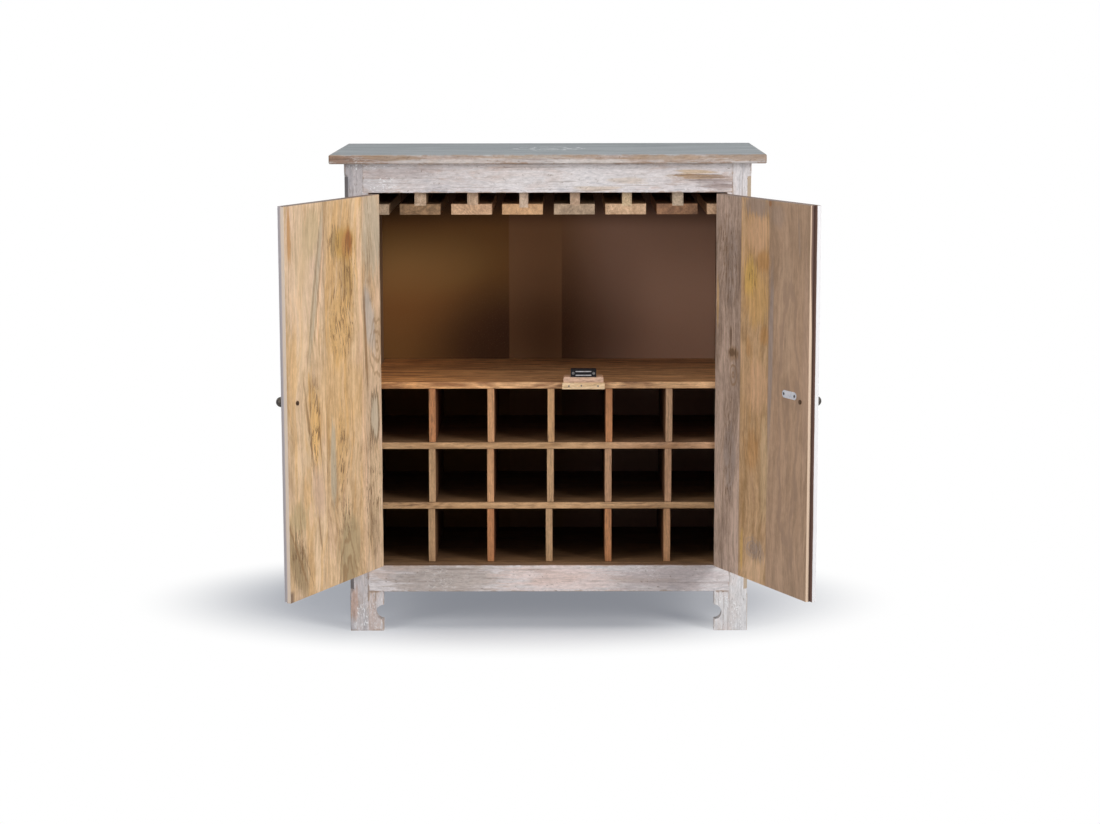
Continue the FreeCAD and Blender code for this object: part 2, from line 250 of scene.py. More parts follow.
def make_wash_group():
    """Cover: how much wash is left. Flecks: full paint, and Thick: the few places that keep it.

    Tint: slow change of tone. Lines and Specks: bare scratches along the grain and rubbed dots. All are 0 to 1.
    """
    graph, given, made = shader_group(
        "White wash", ("Vector", "Seed", "Fibre", "Amount"), ("Cover", "Tint", *WASH_SPOTS)
    )
    place = graph.moved(given["Vector"], WASH_JUMP, given["Seed"])
    level = graph.weighted(graph.noise(place, *WASH_SLOW), (given["Fibre"], COVER_FIBRE))
    graph.feed(made["Cover"], graph.step(graph.math("ADD", level, given["Amount"]), *COVER_LIMITS))
    graph.feed(made["Tint"], graph.noise(place, *WASH_TINT))
    for name, spots in WASH_SPOTS.items():
        graph.feed(made[name], graph.spots(place, *spots))
    return graph.tree


def make_wear_group():
    """Edge is 1 on the arrises of the box from Low to High and fades to 0 at a ragged Reach from them."""
    graph, given, made = shader_group("Arris wear", ("Vector", "Low", "High", "Reach"), ("Edge",))
    near_low = graph.vector("SUBTRACT", given["Vector"], given["Low"])
    near_high = graph.vector("SUBTRACT", given["High"], given["Vector"])
    first, second, third = graph.split(graph.vector("MINIMUM", near_low, near_high))
    smaller = graph.math("MINIMUM", first, second)
    larger = graph.math("MAXIMUM", first, second)
    distance = graph.math("MAXIMUM", smaller, graph.math("MINIMUM", larger, third))
    reach = graph.times(given["Reach"], graph.spots(given["Vector"], *WEAR_RAGGED))
    share = graph.math("DIVIDE", distance, graph.math("MAXIMUM", reach, LEAST_REACH))
    graph.feed(made["Edge"], graph.step(share, *WEAR_FADE))
    return graph.tree


WASH = make_wash_group()
WEAR = make_wear_group()
print("groups:", WASH.name, "and", WEAR.name)

# %% [markdown]
# ## Stains and ring figures
# Old boards carry stains, sapwood streaks and knots, each in its own place. A stain is an ellipse, upright
# or sheared to a slant, whose outline is broken up by noise stretched along the grain. A ring figure is a
# set of nested ellipses, as where the saw cuts through a bulge of the growth rings.

# %% Stain and ring groups
STAIN_UNEVEN, STAIN_BREAK = ((150.0, 0.0, 11.0), 6.0, 0.72, 0.3), 2.2
STAIN_FADE, RIM_RISE, RIM_FALL = (1.1, 0.6), (0.66, 0.80), (1.02, 0.9)
RING_WARP, RING_SWAY = ((38.0, 0.0, 12.0), 3.0, 0.55), 0.9
RING_LINE, RING_FADE = (0.1, 0.95), (1.1, 0.7)


def make_stain_group():
    """Mask is 1 inside the ellipse of half-widths Size round Centre, sheared by Slant (across per length).

    Ragged breaks up its outline along the grain, and Rim is the band just inside that outline.
    """
    takes = ("Vector", "Centre", "Size", "Slant", "Ragged")
    graph, given, made = shader_group("Stain", takes, ("Mask", "Rim"))
    x, y, z = graph.split(graph.vector("SUBTRACT", given["Vector"], given["Centre"]))
    x = graph.math("SUBTRACT", x, graph.times(z, given["Slant"]))
    offset = graph.vector("DIVIDE", graph.join(x, y, z), given["Size"])
    uneven = graph.math("SUBTRACT", graph.noise(given["Vector"], *STAIN_UNEVEN), 0.5)
    ragged = graph.times(given["Ragged"], STAIN_BREAK)
    distance = graph.weighted(graph.vector("LENGTH", offset), (uneven, ragged))
    graph.feed(made["Mask"], graph.step(distance, *STAIN_FADE))
    graph.feed(made["Rim"], graph.times(graph.step(distance, *RIM_RISE), graph.step(distance, *RIM_FALL)))
    return graph.tree


def make_ring_group():
    """Lines are warped ellipses round Centre, Count of them inside the half-widths Size, faded by Mask."""
    graph, given, made = shader_group("Ring figure", ("Vector", "Centre", "Size", "Count"), ("Mask", "Lines"))
    offset = graph.vector("DIVIDE", graph.vector("SUBTRACT", given["Vector"], given["Centre"]), given["Size"])
    warp = graph.math("SUBTRACT", graph.noise(given["Vector"], *RING_WARP), 0.5)
    distance = graph.weighted(graph.vector("LENGTH", offset), (warp, RING_SWAY))
    turns = graph.times(distance, graph.times(given["Count"], 2 * math.pi))
    graph.feed(made["Lines"], graph.step(graph.math("SINE", turns), *RING_LINE))
    graph.feed(made["Mask"], graph.step(distance, *RING_FADE))
    return graph.tree


STAIN = make_stain_group()
RINGS = make_ring_group()
print("groups:", STAIN.name, "and", RINGS.name)

# %% [markdown]
# ## Washed boards of the frame
# Every board has its own material, because its grain runs its own way and its wear follows its own edges.
# Turning the coordinates so that the board's length becomes Z lets one grain group serve posts and rails
# alike. First come the helpers that every finish shares, then the wash itself.


# %% Shared helpers of the finishes
def new_material(name):
    material = bpy.data.materials.new(name)
    material.use_nodes = True
    material.node_tree.nodes.clear()
    graph = Graph(material.node_tree)
    shader = graph.add("ShaderNodeBsdfPrincipled")
    graph.feed(graph.add("ShaderNodeOutputMaterial").inputs["Surface"], shader.outputs[0])
    return material, graph, shader


def surface(graph, shader, colour, height, feel):
    """Feeds the colour of a finish and its feel = (roughness, strength of the bump, depth of the bump)."""
    roughness, strength, depth = feel
    graph.feed(shader.inputs["Base Color"], colour)
    graph.feed(shader.inputs["Roughness"], roughness)
    node = graph.add("ShaderNodeBump", {"Height": height, "Strength": strength, "Distance": depth})
    graph.feed(shader.inputs["Normal"], node.outputs[0])


def dress(node, material):
    """Makes this the node's only material."""
    mesh = nodes[node].data
    mesh.materials.clear()
    mesh.materials.append(material)


def along_grain(graph, axis):
    """Object coordinates, plain and turned so that the board's length runs along Z and its width along X."""
    place = graph.place()
    x, y, z = graph.split(place)
    return place, graph.join(*{"X": (z, y, x), "Y": (z, x, y), "Z": (x, y, z)}[axis])


def inside_box(graph, place, low, high):
    """1 inside the box from low to high and 0 outside it."""
    near_low = graph.vector("SUBTRACT", place, low)
    near = graph.vector("MINIMUM", near_low, graph.vector("SUBTRACT", high, place))
    first, second, third = graph.split(near)
    least = graph.math("MINIMUM", graph.math("MINIMUM", first, second), third)
    return graph.math("GREATER_THAN", least, 0.0)


ALL_THROUGH = 9.0


def patch(graph, vector, spot, ragged, slant=0.0):
    """Mask and rim of a stain at spot = (across, along, half width, half length), through the whole board."""
    across, along, half_width, half_length = spot
    ellipse = {"Centre": (across, 0.0, along), "Size": (half_width, ALL_THROUGH, half_length)}
    return graph.group(STAIN, Vector=vector, Slant=slant, Ragged=ragged, **ellipse)


RIM_BROWN = (0.15, 0.085, 0.035)


def stained(graph, vector, colour, stains, texture):
    """Lays (across, along, half width, half length, tone, strength, ragged, slant, rim) stains over a colour.

    Slant and rim may be left out. The texture multiplies the tones, so the grain runs on through a stain.
    """
    for stain in stains:
        tone, strength, ragged, slant, rim = (*stain[4:], 0.0, 0.0)[:5]
        spot = patch(graph, vector, stain[:4], ragged, slant)
        colour = graph.mix(graph.times(spot["Mask"], strength), colour, graph.tint(tone, texture))
        if rim:
            colour = graph.mix(graph.times(spot["Rim"], rim), colour, RIM_BROWN)
    return colour


def toothed(graph, colour, tooth, depth):
    """Colour times 1 + depth * (tooth - 1/2)."""
    return graph.tint(colour, graph.math("MULTIPLY_ADD", tooth, depth, 1.0 - depth / 2))


print("nodes to dress:", len(record["subparts"]))

# %% Wash
BARE_DARK, BARE_LIGHT, UNDER_BROWN = (0.20, 0.115, 0.062), (0.42, 0.28, 0.17), (0.13, 0.07, 0.03)
WASH_WHITE, WASH_PINK, WASH_GREY = (0.62, 0.575, 0.57), (0.53, 0.425, 0.38), (0.38, 0.365, 0.385)
LINE_MAUVE, PAINT_WHITE = (0.35, 0.27, 0.24), (0.85, 0.845, 0.85)
BARE_STOPS = ((0.3, BARE_DARK), (0.7, BARE_LIGHT))
WASH_STOPS = ((0.36, WASH_GREY), (0.46, WASH_WHITE), (0.55, WASH_WHITE), (0.65, WASH_PINK))
WASH_RINGS, PORE_SHARE, RING_SHARE, LINE_SHARE, SPECK_SHARE = 12.0, 0.6, 0.14, 0.65, 0.55
PINK_FIBRE, EDGE_LOSS, LINE_DEPTH, LINE_LEVEL = (0.52, 0.80), -0.65, -0.3, 1.08
WASH_TOOTH, THICK_SHARE, FLECK_SHARE, FLECK_RAGGED, HEIGHT_FIBRE = 1.1, 0.4, 0.9, 1.2, 0.5


def washed_colour(graph, vector, seed, amount, edge, bias=0.0, stains=(), flecked=()):
    """Brown wood under white wash; returns its colour, the colour of the bare wood and a height for the bump.

    Flecked lists (across, along, half width, half length) of the places where thick paint is left in flecks.
    """
    grain = graph.group(GRAIN, Vector=vector, Seed=seed, Ring_Count=WASH_RINGS)
    wood = graph.ramp(grain["Streak"], BARE_STOPS)
    wood = graph.mix(graph.times(grain["Pores"], PORE_SHARE), wood, BARE_DARK)
    wash = graph.group(WASH, Vector=vector, Seed=seed, Fibre=grain["Fibre"], Amount=amount)
    tint = graph.ramp(graph.math("ADD", wash["Tint"], bias), WASH_STOPS)
    tint = graph.mix(graph.times(grain["Rings"], RING_SHARE), tint, WASH_GREY)
    tint = graph.mix(graph.step(grain["Fibre"], *PINK_FIBRE), tint, WASH_PINK)
    tint = graph.mix(graph.times(wash["Lines"], LINE_SHARE), tint, LINE_MAUVE)
    cover = graph.times(wash["Cover"], graph.math("MULTIPLY_ADD", edge, EDGE_LOSS, 1.0))
    texture = graph.math("MULTIPLY_ADD", wash["Lines"], LINE_DEPTH, LINE_LEVEL)
    colour = stained(graph, vector, graph.mix(cover, wood, tint), stains, texture)
    colour = graph.mix(graph.times(wash["Specks"], SPECK_SHARE), colour, UNDER_BROWN)
    colour = toothed(graph, colour, grain["Tooth"], WASH_TOOTH)
    thick = graph.times(wash["Thick"], THICK_SHARE)
    for spot in flecked:
        mask = patch(graph, vector, spot, FLECK_RAGGED)["Mask"]
        thick = graph.math("MAXIMUM", thick, graph.times(mask, FLECK_SHARE))
    thick = graph.times(thick, wash["Flecks"])
    height = graph.weighted(thick, (grain["Fibre"], HEIGHT_FIBRE))
    return graph.mix(thick, colour, PAINT_WHITE), wood, height


def worn_edge(graph, place, node, reach):
    """Wear on the arrises of a node's box."""
    low, high = (tuple(corner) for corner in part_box(node))
    return graph.group(WEAR, Vector=place, Low=low, High=high, Reach=reach)["Edge"]


print("wash:", len(WASH.nodes), "shader nodes")

# %% Washed boards
HAIR, WEAR_REACH, WASH_FEEL = 0.0002, 0.007, (0.75, 0.4, 0.0012)
INSIDE_TONE, LOOKS_THERE = (0.55, 0.47, 0.40), (0.5, 0.9)
# Both chamfers are bare wood: tan on the right post, and dark grey on the left post as painted shade.
SHADED_CHAMFER, CHAMFER_TAN = (0.13, 0.115, 0.115), (0.40, 0.29, 0.18)
CHAMFER_COVER, CHAMFER_LOOKS = 0.85, (1.25, 1.38)
inner_low = (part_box("post_back_l")[1][0] - HAIR, -1.0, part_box("deck")[0][2])
inner_high = (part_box("post_back_r")[0][0] + HAIR, 1.0, 2.0)


def washed_board(node, axis, seed, amount=0.5, bias=0.0, stains=(), flecked=(), bare=None, chamfer=None):
    """Wash with worn arrises. Bare = (axis, sign) leaves the faces inside that look that way unpainted.

    Chamfer = (sign, tone) gives that tone to the faces that look forwards and sideways at 45 degrees.
    """
    material, graph, shader = new_material("wash_" + node)
    place, vector = along_grain(graph, axis)
    edge = worn_edge(graph, place, node, WEAR_REACH)
    colour, wood, height = washed_colour(graph, vector, seed, amount, edge, bias, stains, flecked)
    if bare:
        looks = graph.step(graph.times(graph.facing()[bare[0]], bare[1]), *LOOKS_THERE)
        share = graph.times(inside_box(graph, place, inner_low, inner_high), looks)
        colour = graph.mix(share, colour, graph.tint(wood, INSIDE_TONE))
    if chamfer:
        sideways, forwards, _ = graph.facing()
        slope = graph.math("SUBTRACT", graph.times(sideways, chamfer[0]), forwards)
        colour = graph.mix(graph.times(graph.step(slope, *CHAMFER_LOOKS), CHAMFER_COVER), colour, chamfer[1])
    surface(graph, shader, colour, height, WASH_FEEL)
    dress(node, material)


for side, inwards, shift in (("l", 1.0, 0.0), ("r", -1.0, 7.1)):
    for name, seed in (("post_back", 2.2), ("side_board", 3.9), ("jamb", 5.6)):
        washed_board(f"{name}_{side}", "Z", seed + shift, bias=0.05, bare=(0, inwards))
    for level, seed in (("top", 11.3), ("bottom", 12.9)):
        washed_board(f"side_{level}_rail_{side}", "Y", seed + shift / 2)
print("sides:", len([m for m in bpy.data.materials if m.name.startswith("wash_")]))

# %% [markdown]
# ## Front boards
# The boards in front are seen closely, so their stains and paint flecks are laid where they lie on the
# real ones: a stain by its place across and along the board, its half sizes, tone, strength and how ragged
# it is.

# %% Front boards
STREAK_BROWN, STREAK_GOLD, STREAK_MAUVE = (0.33, 0.21, 0.115), (0.47, 0.33, 0.19), (0.34, 0.28, 0.27)
PLASTER_WHITE, FOOT_GREY, CRACK = (0.70, 0.68, 0.68), (0.58, 0.585, 0.59), (0.17, 0.10, 0.055)
washed_board("post_front_l", "Z", 1.1, 0.42, -0.06, [
    (-0.40, 0.50, 0.05, 0.60, (0.38, 0.345, 0.345), 0.55, 1.0),
    (-0.415, 0.055, 0.010, 0.045, (0.44, 0.28, 0.21), 0.7, 1.2),
    (-0.395, 0.975, 0.030, 0.050, (0.42, 0.38, 0.38), 0.6, 1.2),
], [
    (-0.398, 0.985, 0.022, 0.010), (-0.384, 0.940, 0.008, 0.030), (-0.398, 0.035, 0.018, 0.040),
    (-0.400, 0.012, 0.024, 0.012),
], chamfer=(-1.0, SHADED_CHAMFER))
washed_board("post_front_r", "Z", 8.4, 0.60, 0.02, [
    (0.395, 0.97, 0.025, 0.05, PLASTER_WHITE, 0.35, 1.0),
    (0.40, 0.05, 0.035, 0.09, FOOT_GREY, 0.6, 1.0),
], [(0.395, 0.03, 0.016, 0.05), (0.415, 0.95, 0.006, 0.04)], chamfer=(1.0, CHAMFER_TAN))
washed_board("bracket_l", "Z", 2.7, 0.46, 0.04, flecked=[
    (-0.37, 0.04, 0.02, 0.03), (-0.37, 0.012, 0.02, 0.01),
])
washed_board("bracket_r", "Z", 9.5, 0.64, -0.01, [
    (0.36, 0.04, 0.03, 0.05, FOOT_GREY, 0.5, 1.0),
], [(0.37, 0.07, 0.02, 0.02)])


def level_with(node, rows):
    """Stain or fleck rows whose first value is counted from the middle of the node's height."""
    low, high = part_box(node)
    middle = float(np.mean([low[2], high[2]]))
    return [(middle + row[0], *row[1:]) for row in rows]


washed_board("frieze_rail", "X", 4.6, 0.66, 0.02, level_with("frieze_rail", [
    (0.0, 0.02, 0.040, 0.20, PLASTER_WHITE, 0.4, 1.3),
    (0.012, -0.30, 0.012, 0.09, STREAK_MAUVE, 0.45, 1.5),
    (0.011, 0.300, 0.008, 0.040, STREAK_GOLD, 0.75, 1.8),
    (0.004, 0.305, 0.004, 0.050, STREAK_BROWN, 0.85, 1.7),
    (-0.001, 0.315, 0.003, 0.055, STREAK_BROWN, 0.85, 1.7),
    (0.006, 0.315, 0.0015, 0.05, CRACK, 0.85, 1.6),
    (0.001, 0.335, 0.0012, 0.05, CRACK, 0.85, 1.6),
    (-0.005, 0.340, 0.0015, 0.05, (0.20, 0.13, 0.09), 0.8, 1.6),
    (-0.010, 0.345, 0.010, 0.045, STREAK_MAUVE, 0.75, 1.8),
    (-0.018, 0.360, 0.008, 0.035, (0.28, 0.21, 0.19), 0.6, 1.7),
    (-0.022, 0.10, 0.006, 0.06, STREAK_GOLD, 0.45, 1.2),
    (-0.006, 0.16, 0.008, 0.04, STREAK_GOLD, 0.35, 1.5),
]), level_with("frieze_rail", [(-0.014, -0.345, 0.016, 0.035), (0.024, -0.36, 0.006, 0.03)]))
washed_board("bottom_rail", "X", 6.4, 0.52, 0.03, level_with("bottom_rail", [
    (0.0, -0.22, 0.035, 0.13, (0.38, 0.32, 0.285), 0.75, 1.5),
    (0.0, 0.03, 0.035, 0.14, (0.68, 0.54, 0.50), 0.55, 1.5),
    (-0.004, 0.20, 0.006, 0.09, STREAK_BROWN, 0.45, 1.5),
    (0.002, 0.25, 0.035, 0.12, (0.44, 0.375, 0.37), 0.7, 1.5),
]), bare=(2, 1.0))
print("washed boards:", len([m for m in bpy.data.materials if m.name.startswith("wash_")]))

# %% [markdown]
# ## Oiled inner wood
# Shelves, dividers and the stem rack are oiled and not painted. They were cut from different logs, so each
# gets its own dark and light tone. The faces that look up or sideways are darker: painted shade, deepest in
# the cells, over a duller finish than the planed front edges. So the colour also asks which way a face looks.

# %% Inner wood
PORE_BROWN = (0.10, 0.05, 0.025)
INNER_RINGS, INNER_TOOTH, LOOKS_FORWARD = 18.0, 1.3, (-0.5, -0.9)
LEVEL_RINGS, LEVEL_FIBRE, LEVEL_DROP = 0.14, 0.4, -0.27
# Faces that don't look forwards take this tone times a board's shade: painted shade over a duller finish.
OILED_FEEL, SHADE_AND_DULL_TONE = (0.62, 0.3, 0.0008), (1.0, 0.88, 0.74)


def oiled_surface(graph, shader, colour, grain, shade_and_dull):
    """Pores and tooth over a colour; faces that don't look forwards take it times the given painted-shade tone.
    """
    colour = graph.mix(graph.times(grain["Pores"], PORE_SHARE), colour, PORE_BROWN)
    colour = toothed(graph, colour, grain["Tooth"], INNER_TOOTH)
    front = graph.step(graph.facing()[1], *LOOKS_FORWARD)
    colour = graph.mix(front, graph.tint(colour, shade_and_dull), colour)
    surface(graph, shader, colour, grain["Fibre"], OILED_FEEL)


def oiled_wood(name, axis, seed, tones, shade, insert=None, span=(0.3, 0.68), drift=None):
    """Wood in tones = (dark, light); insert = (low, high, tones) gives the board in that box its own tones.

    Drift = (from, to, tone) lets a tone come in between two places across the cabinet. Shade sets the painted
    shade, over a duller finish, on the faces that don't look forwards.
    """
    material, graph, shader = new_material(name)
    place, vector = along_grain(graph, axis)
    grain = graph.group(GRAIN, Vector=vector, Seed=seed, Ring_Count=INNER_RINGS)
    level = graph.weighted(grain["Streak"], (grain["Rings"], LEVEL_RINGS))
    level = graph.weighted(graph.math("ADD", level, LEVEL_DROP), (grain["Fibre"], LEVEL_FIBRE))
    colour = graph.ramp(level, tuple(zip(span, tones)))
    if insert:
        other = graph.ramp(level, tuple(zip(span, insert[2])))
        colour = graph.mix(inside_box(graph, place, insert[0], insert[1]), colour, other)
    if drift:
        colour = graph.tint(colour, drift[2], graph.step(graph.split(place)[0], drift[0], drift[1]))
    oiled_surface(graph, shader, colour, grain, tuple(shade * part for part in SHADE_AND_DULL_TONE))
    return material


SHELF_TONES = ((0.28, 0.15, 0.060), (0.57, 0.345, 0.175))
COUNTER_TONES, COUNTER_SPAN = ((0.27, 0.130, 0.055), (0.78, 0.465, 0.235)), (0.36, 0.62)
# The boards round the cells take painted shade almost to black on faces that don't look forwards; the counter
# less.
CELL_SHADE, COUNTER_SHADE = 0.34, 0.86
SHELF_DRIFT = (0.0, 0.3, (1.22, 1.18, 1.34))
COUNTER_DRIFT = (0.0, -0.35, (1.18, 1.02, 0.80))
ROUGH_TONES = ((0.22, 0.14, 0.08), (0.42, 0.29, 0.18))
CATCH_STRIP_TONES = ((0.58, 0.38, 0.20), (0.82, 0.60, 0.37))
CATCH_BLOCK_TONES = ((0.52, 0.32, 0.215), (0.74, 0.49, 0.35))
INNER_BOARDS = {
    "shelf_1": dict(seed=2.1, tones=SHELF_TONES, shade=CELL_SHADE),
    "shelf_2": dict(seed=4.2, tones=SHELF_TONES, shade=CELL_SHADE, drift=SHELF_DRIFT),
    "shelf_3": dict(
        seed=6.3, tones=COUNTER_TONES, shade=COUNTER_SHADE, span=COUNTER_SPAN, drift=COUNTER_DRIFT
    ),
    "deck": dict(seed=9.3, tones=SHELF_TONES, shade=CELL_SHADE),
    "catch_strip": dict(seed=4.4, tones=CATCH_STRIP_TONES, shade=0.9),
    "catch_block": dict(seed=7.9, tones=CATCH_BLOCK_TONES, shade=1.0),
}
for node, values in INNER_BOARDS.items():
    dress(node, oiled_wood("oiled_" + node, "X", **values))
for node in ("back_top_rail", "back_bottom_rail"):
    dress(node, oiled_wood("rough_" + node, "X", 6.1, ROUGH_TONES, 0.9))
print("oiled boards:", list(INNER_BOARDS))

# %% [markdown]
# ## Stem rack
# A stem rail is a strip with a web on top of it, cut from another log. The web's box is read from the
# rail's own points: the highest ones give its width, and the lowest point under its side gives its height.

# %% Stem rails
# Painted shade on the rails' faces that don't look forwards.
RACK_SHADE = 0.7
STRIP_TONES = (
    ((0.12, 0.066, 0.028), (0.34, 0.20, 0.10)),
    ((0.36, 0.21, 0.12), (0.64, 0.41, 0.245)),
    ((0.40, 0.22, 0.105), (0.65, 0.39, 0.20)),
    ((0.24, 0.165, 0.105), (0.48, 0.345, 0.23)),
    ((0.41, 0.25, 0.14), (0.70, 0.47, 0.295)),
    ((0.155, 0.07, 0.033), (0.40, 0.205, 0.10)),
)
WEB_TONES = (
    ((0.38, 0.25, 0.16), (0.64, 0.48, 0.34)),
    ((0.28, 0.17, 0.10), (0.58, 0.41, 0.28)),
    ((0.40, 0.28, 0.20), (0.66, 0.51, 0.38)),
    ((0.29, 0.18, 0.11), (0.50, 0.35, 0.24)),
    ((0.44, 0.31, 0.18), (0.72, 0.55, 0.35)),
    ((0.37, 0.28, 0.19), (0.60, 0.47, 0.34)),
)


def node_points(node):
    mesh = nodes[node].data
    points = np.empty(len(mesh.vertices) * 3)
    mesh.vertices.foreach_get("co", points)
    return points.reshape(-1, 3)


for number, (strip, web) in enumerate(zip(STRIP_TONES, WEB_TONES), start=1):
    node = f"stem_rail_{number}"
    points = node_points(node)
    top = points[points[:, 2] > points[:, 2].max() - HAIR]
    web_low, web_high = top.min(axis=0), top.max(axis=0)
    web_low[2] = points[np.abs(points[:, 0] - web_low[0]) < HAIR][:, 2].min()
    insert = (tuple(web_low - HAIR), tuple(web_high + HAIR), web)
    dress(node, oiled_wood("oiled_" + node, "Y", 1.7 * number, strip, RACK_SHADE, insert))
for side, tones in (("l", STRIP_TONES[3]), ("r", STRIP_TONES[1])):
    dress(f"stem_strip_{side}", oiled_wood(f"oiled_stem_strip_{side}", "Y", 3.3, tones, RACK_SHADE))
print("stem rails:", len(STRIP_TONES))

# %% [markdown]
# ## Dividers
# The five dividers of a row are one node, but they are five boards. A step function of the place across
# the cabinet gives every board its own offset in the grain and its own tone.

# %% Dividers
TONE_ORANGE, TONE_PALE = (1.01, 0.70, 0.48), (1.15, 0.98, 0.81)
TONE_OLIVE, TONE_PINK = (0.97, 0.95, 0.85), (1.05, 0.96, 0.92)
TONE_STRAW, TONE_GREY = (1.15, 1.07, 0.88), (1.24, 1.22, 1.23)
ROW_TONES = {
    3: (TONE_ORANGE, TONE_PALE, TONE_STRAW, TONE_ORANGE, TONE_GREY),
    2: (TONE_OLIVE, TONE_PALE, TONE_OLIVE, TONE_PINK, TONE_PINK),
    1: (TONE_OLIVE, TONE_ORANGE, TONE_OLIVE, TONE_ORANGE, TONE_PALE),
}
DIVIDER_STOPS = ((0.36, (0.30, 0.175, 0.092)), (0.64, (0.57, 0.36, 0.215)))
# The sides of the dividers are darkened as painted shade inside the cells, over a duller finish.
DIVIDER_SHADE_AND_DULL, DIVIDER_FIBRE, DIVIDER_STREAK, ROW_SEED = (0.30, 0.22, 0.16), 0.6, 0.4, 5.0


def divider_wood(row):
    """Oiled wood whose grain and tone change from one divider to the next across the row."""
    material, graph, shader = new_material(f"oiled_dividers_{row}")
    place = graph.place()
    low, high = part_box(f"dividers_{row}")
    first, *others = ROW_TONES[row]
    share = graph.math("SUBTRACT", graph.split(place)[0], float(low[0]))
    share = graph.math("DIVIDE", share, float(high[0] - low[0]))
    number = graph.math("ROUND", graph.times(share, float(len(others))))
    seed = graph.math("ADD", number, ROW_SEED * row)
    grain = graph.group(GRAIN, Vector=place, Seed=seed, Ring_Count=INNER_RINGS)
    level = graph.weighted(graph.times(grain["Streak"], DIVIDER_STREAK), (grain["Fibre"], DIVIDER_FIBRE))
    tone = first
    for index, other in enumerate(others):
        tone = graph.mix(graph.math("GREATER_THAN", number, index + 0.5), tone, other)
    oiled_surface(graph, shader, graph.tint(graph.ramp(level, DIVIDER_STOPS), tone), grain, DIVIDER_SHADE_AND_DULL)
    return material


for row in ROW_TONES:
    dress(f"dividers_{row}", divider_wood(row))
print("dividers of rows:", list(ROW_TONES))

# %% [markdown]
# ## Back board
# The back is thin brown fibreboard in three pieces: a warm one, a narrow strip left of the middle and a
# greyer one, which is also made lighter as painted light. All three carry painted shade low down beside the
# strip, the left one also a painted pool of light, and a band of painted shadow from the frieze and the rack
# runs along the top. These clouds have no outline: each fades from its centre to nothing at the rim of an
# ellipse. The outside is plain, and fine specks cover all.

# %% Back board
# The grey piece is greyer than the warm one and also made lighter, as painted light.
BACK_WARM, BACK_STRIP, BACK_GREY_AND_LIT = (0.26, 0.120, 0.033), (0.33, 0.167, 0.076), (0.50, 0.295, 0.205)
# The dark tone is painted shade and the pale one a painted pool of light.
BACK_SPECK, BACK_PAINTED_SHADE, BACK_PAINTED_LIGHT = (0.38, 0.215, 0.105), (0.075, 0.027, 0.010), (0.45, 0.245, 0.081)
# The near-black tone is a painted shadow along the top, under the frieze and the rack.
BACK_ORANGE, BACK_RACK_SHADOW = (0.36, 0.130, 0.035), (0.040, 0.013, 0.004)
STRIP_LEFT, STRIP_RIGHT, JOINT_HALF = -0.092, 0.026, 0.002
# Height and strength of the painted shadow along the top.
GREY_RISE, RACK_SHADOW_RISE, RACK_SHADOW_SHARE = (0.0, 0.16), (0.815, 0.885), 0.95
BACK_SPOTS, SPECK_COVER = (((420.0, 420.0, 420.0), 2.0, 0.6), 0.60, 0.70), 0.35
BACK_FEEL, BACK_SHINE, BACK_LOOKS = (0.68, 0.15, 0.0004), 0.2, (0.0, -0.5)
# The pale clouds are a painted pool of light and the dark ones painted shade; the orange one is a tone of the
# board.
WARM_CLOUDS = [
    (-0.33, 0.740, 0.22, 0.11, BACK_PAINTED_LIGHT, 0.9),
    (-0.20, 0.760, 0.16, 0.10, BACK_PAINTED_LIGHT, 0.3),
    (-0.34, 0.660, 0.24, 0.16, BACK_ORANGE, 0.35),
    (-0.09, 0.580, 0.17, 0.19, BACK_PAINTED_SHADE, 1.0),
    (-0.165, 0.550, 0.180, 0.18, BACK_PAINTED_SHADE, 0.8),
]
STRIP_CLOUDS = [(-0.03, 0.610, 0.25, 0.17, BACK_PAINTED_SHADE, 0.58)]
GREY_CLOUDS = [(0.025, 0.580, 0.13, 0.32, BACK_PAINTED_SHADE, 0.95), (0.125, 0.600, 0.14, 0.26, BACK_PAINTED_SHADE, 0.5)]


def clouded(graph, place, colour, clouds):
    """Lays (across, up, half width, half height, tone, strength) clouds without an outline over a colour."""
    for across, up, half_width, half_height, tone, strength in clouds:
        offset = graph.vector("SUBTRACT", place, (across, 0.0, up))
        offset = graph.vector("MULTIPLY", offset, (1.0 / half_width, 0.0, 1.0 / half_height))
        share = graph.times(graph.step(graph.vector("LENGTH", offset), 1.0, 0.0), strength)
        colour = graph.mix(share, colour, tone)
    return colour


material, graph, shader = new_material("brown_back_board")
place = graph.place()
across, through, up = graph.split(place)
warm = clouded(graph, place, BACK_WARM, WARM_CLOUDS)
strip = clouded(graph, place, BACK_STRIP, STRIP_CLOUDS)
grey = clouded(graph, place, graph.mix(graph.step(across, *GREY_RISE), BACK_STRIP, BACK_GREY_AND_LIT), GREY_CLOUDS)
colour = graph.mix(graph.step(across, STRIP_LEFT - JOINT_HALF, STRIP_LEFT + JOINT_HALF), warm, strip)
colour = graph.mix(graph.step(across, STRIP_RIGHT - JOINT_HALF, STRIP_RIGHT + JOINT_HALF), colour, grey)
# Painted shadow along the top, under the frieze and the rack.
colour = graph.mix(graph.times(graph.step(up, *RACK_SHADOW_RISE), RACK_SHADOW_SHARE), colour, BACK_RACK_SHADOW)
colour = graph.mix(graph.step(graph.facing()[1], *BACK_LOOKS), BACK_STRIP, colour)
specks = graph.spots(place, *BACK_SPOTS)
colour = graph.mix(graph.times(specks, SPECK_COVER), colour, BACK_SPECK)
surface(graph, shader, colour, specks, BACK_FEEL)
shader.inputs["Specular IOR Level"].default_value = BACK_SHINE
dress("back_panel", material)
print("back board:", material.name)

# %% [markdown]
# ## Top
# The top is rubbed with a blue-grey wash along the grain and carries a faint pale rosette in its middle,
# as a stencil leaves it. The rosette is drawn in polar form: its radius is compared with one that swells
# and shrinks round the centre. The edges keep the thin whiter wash of the frame and are worn brown towards
# both ends.

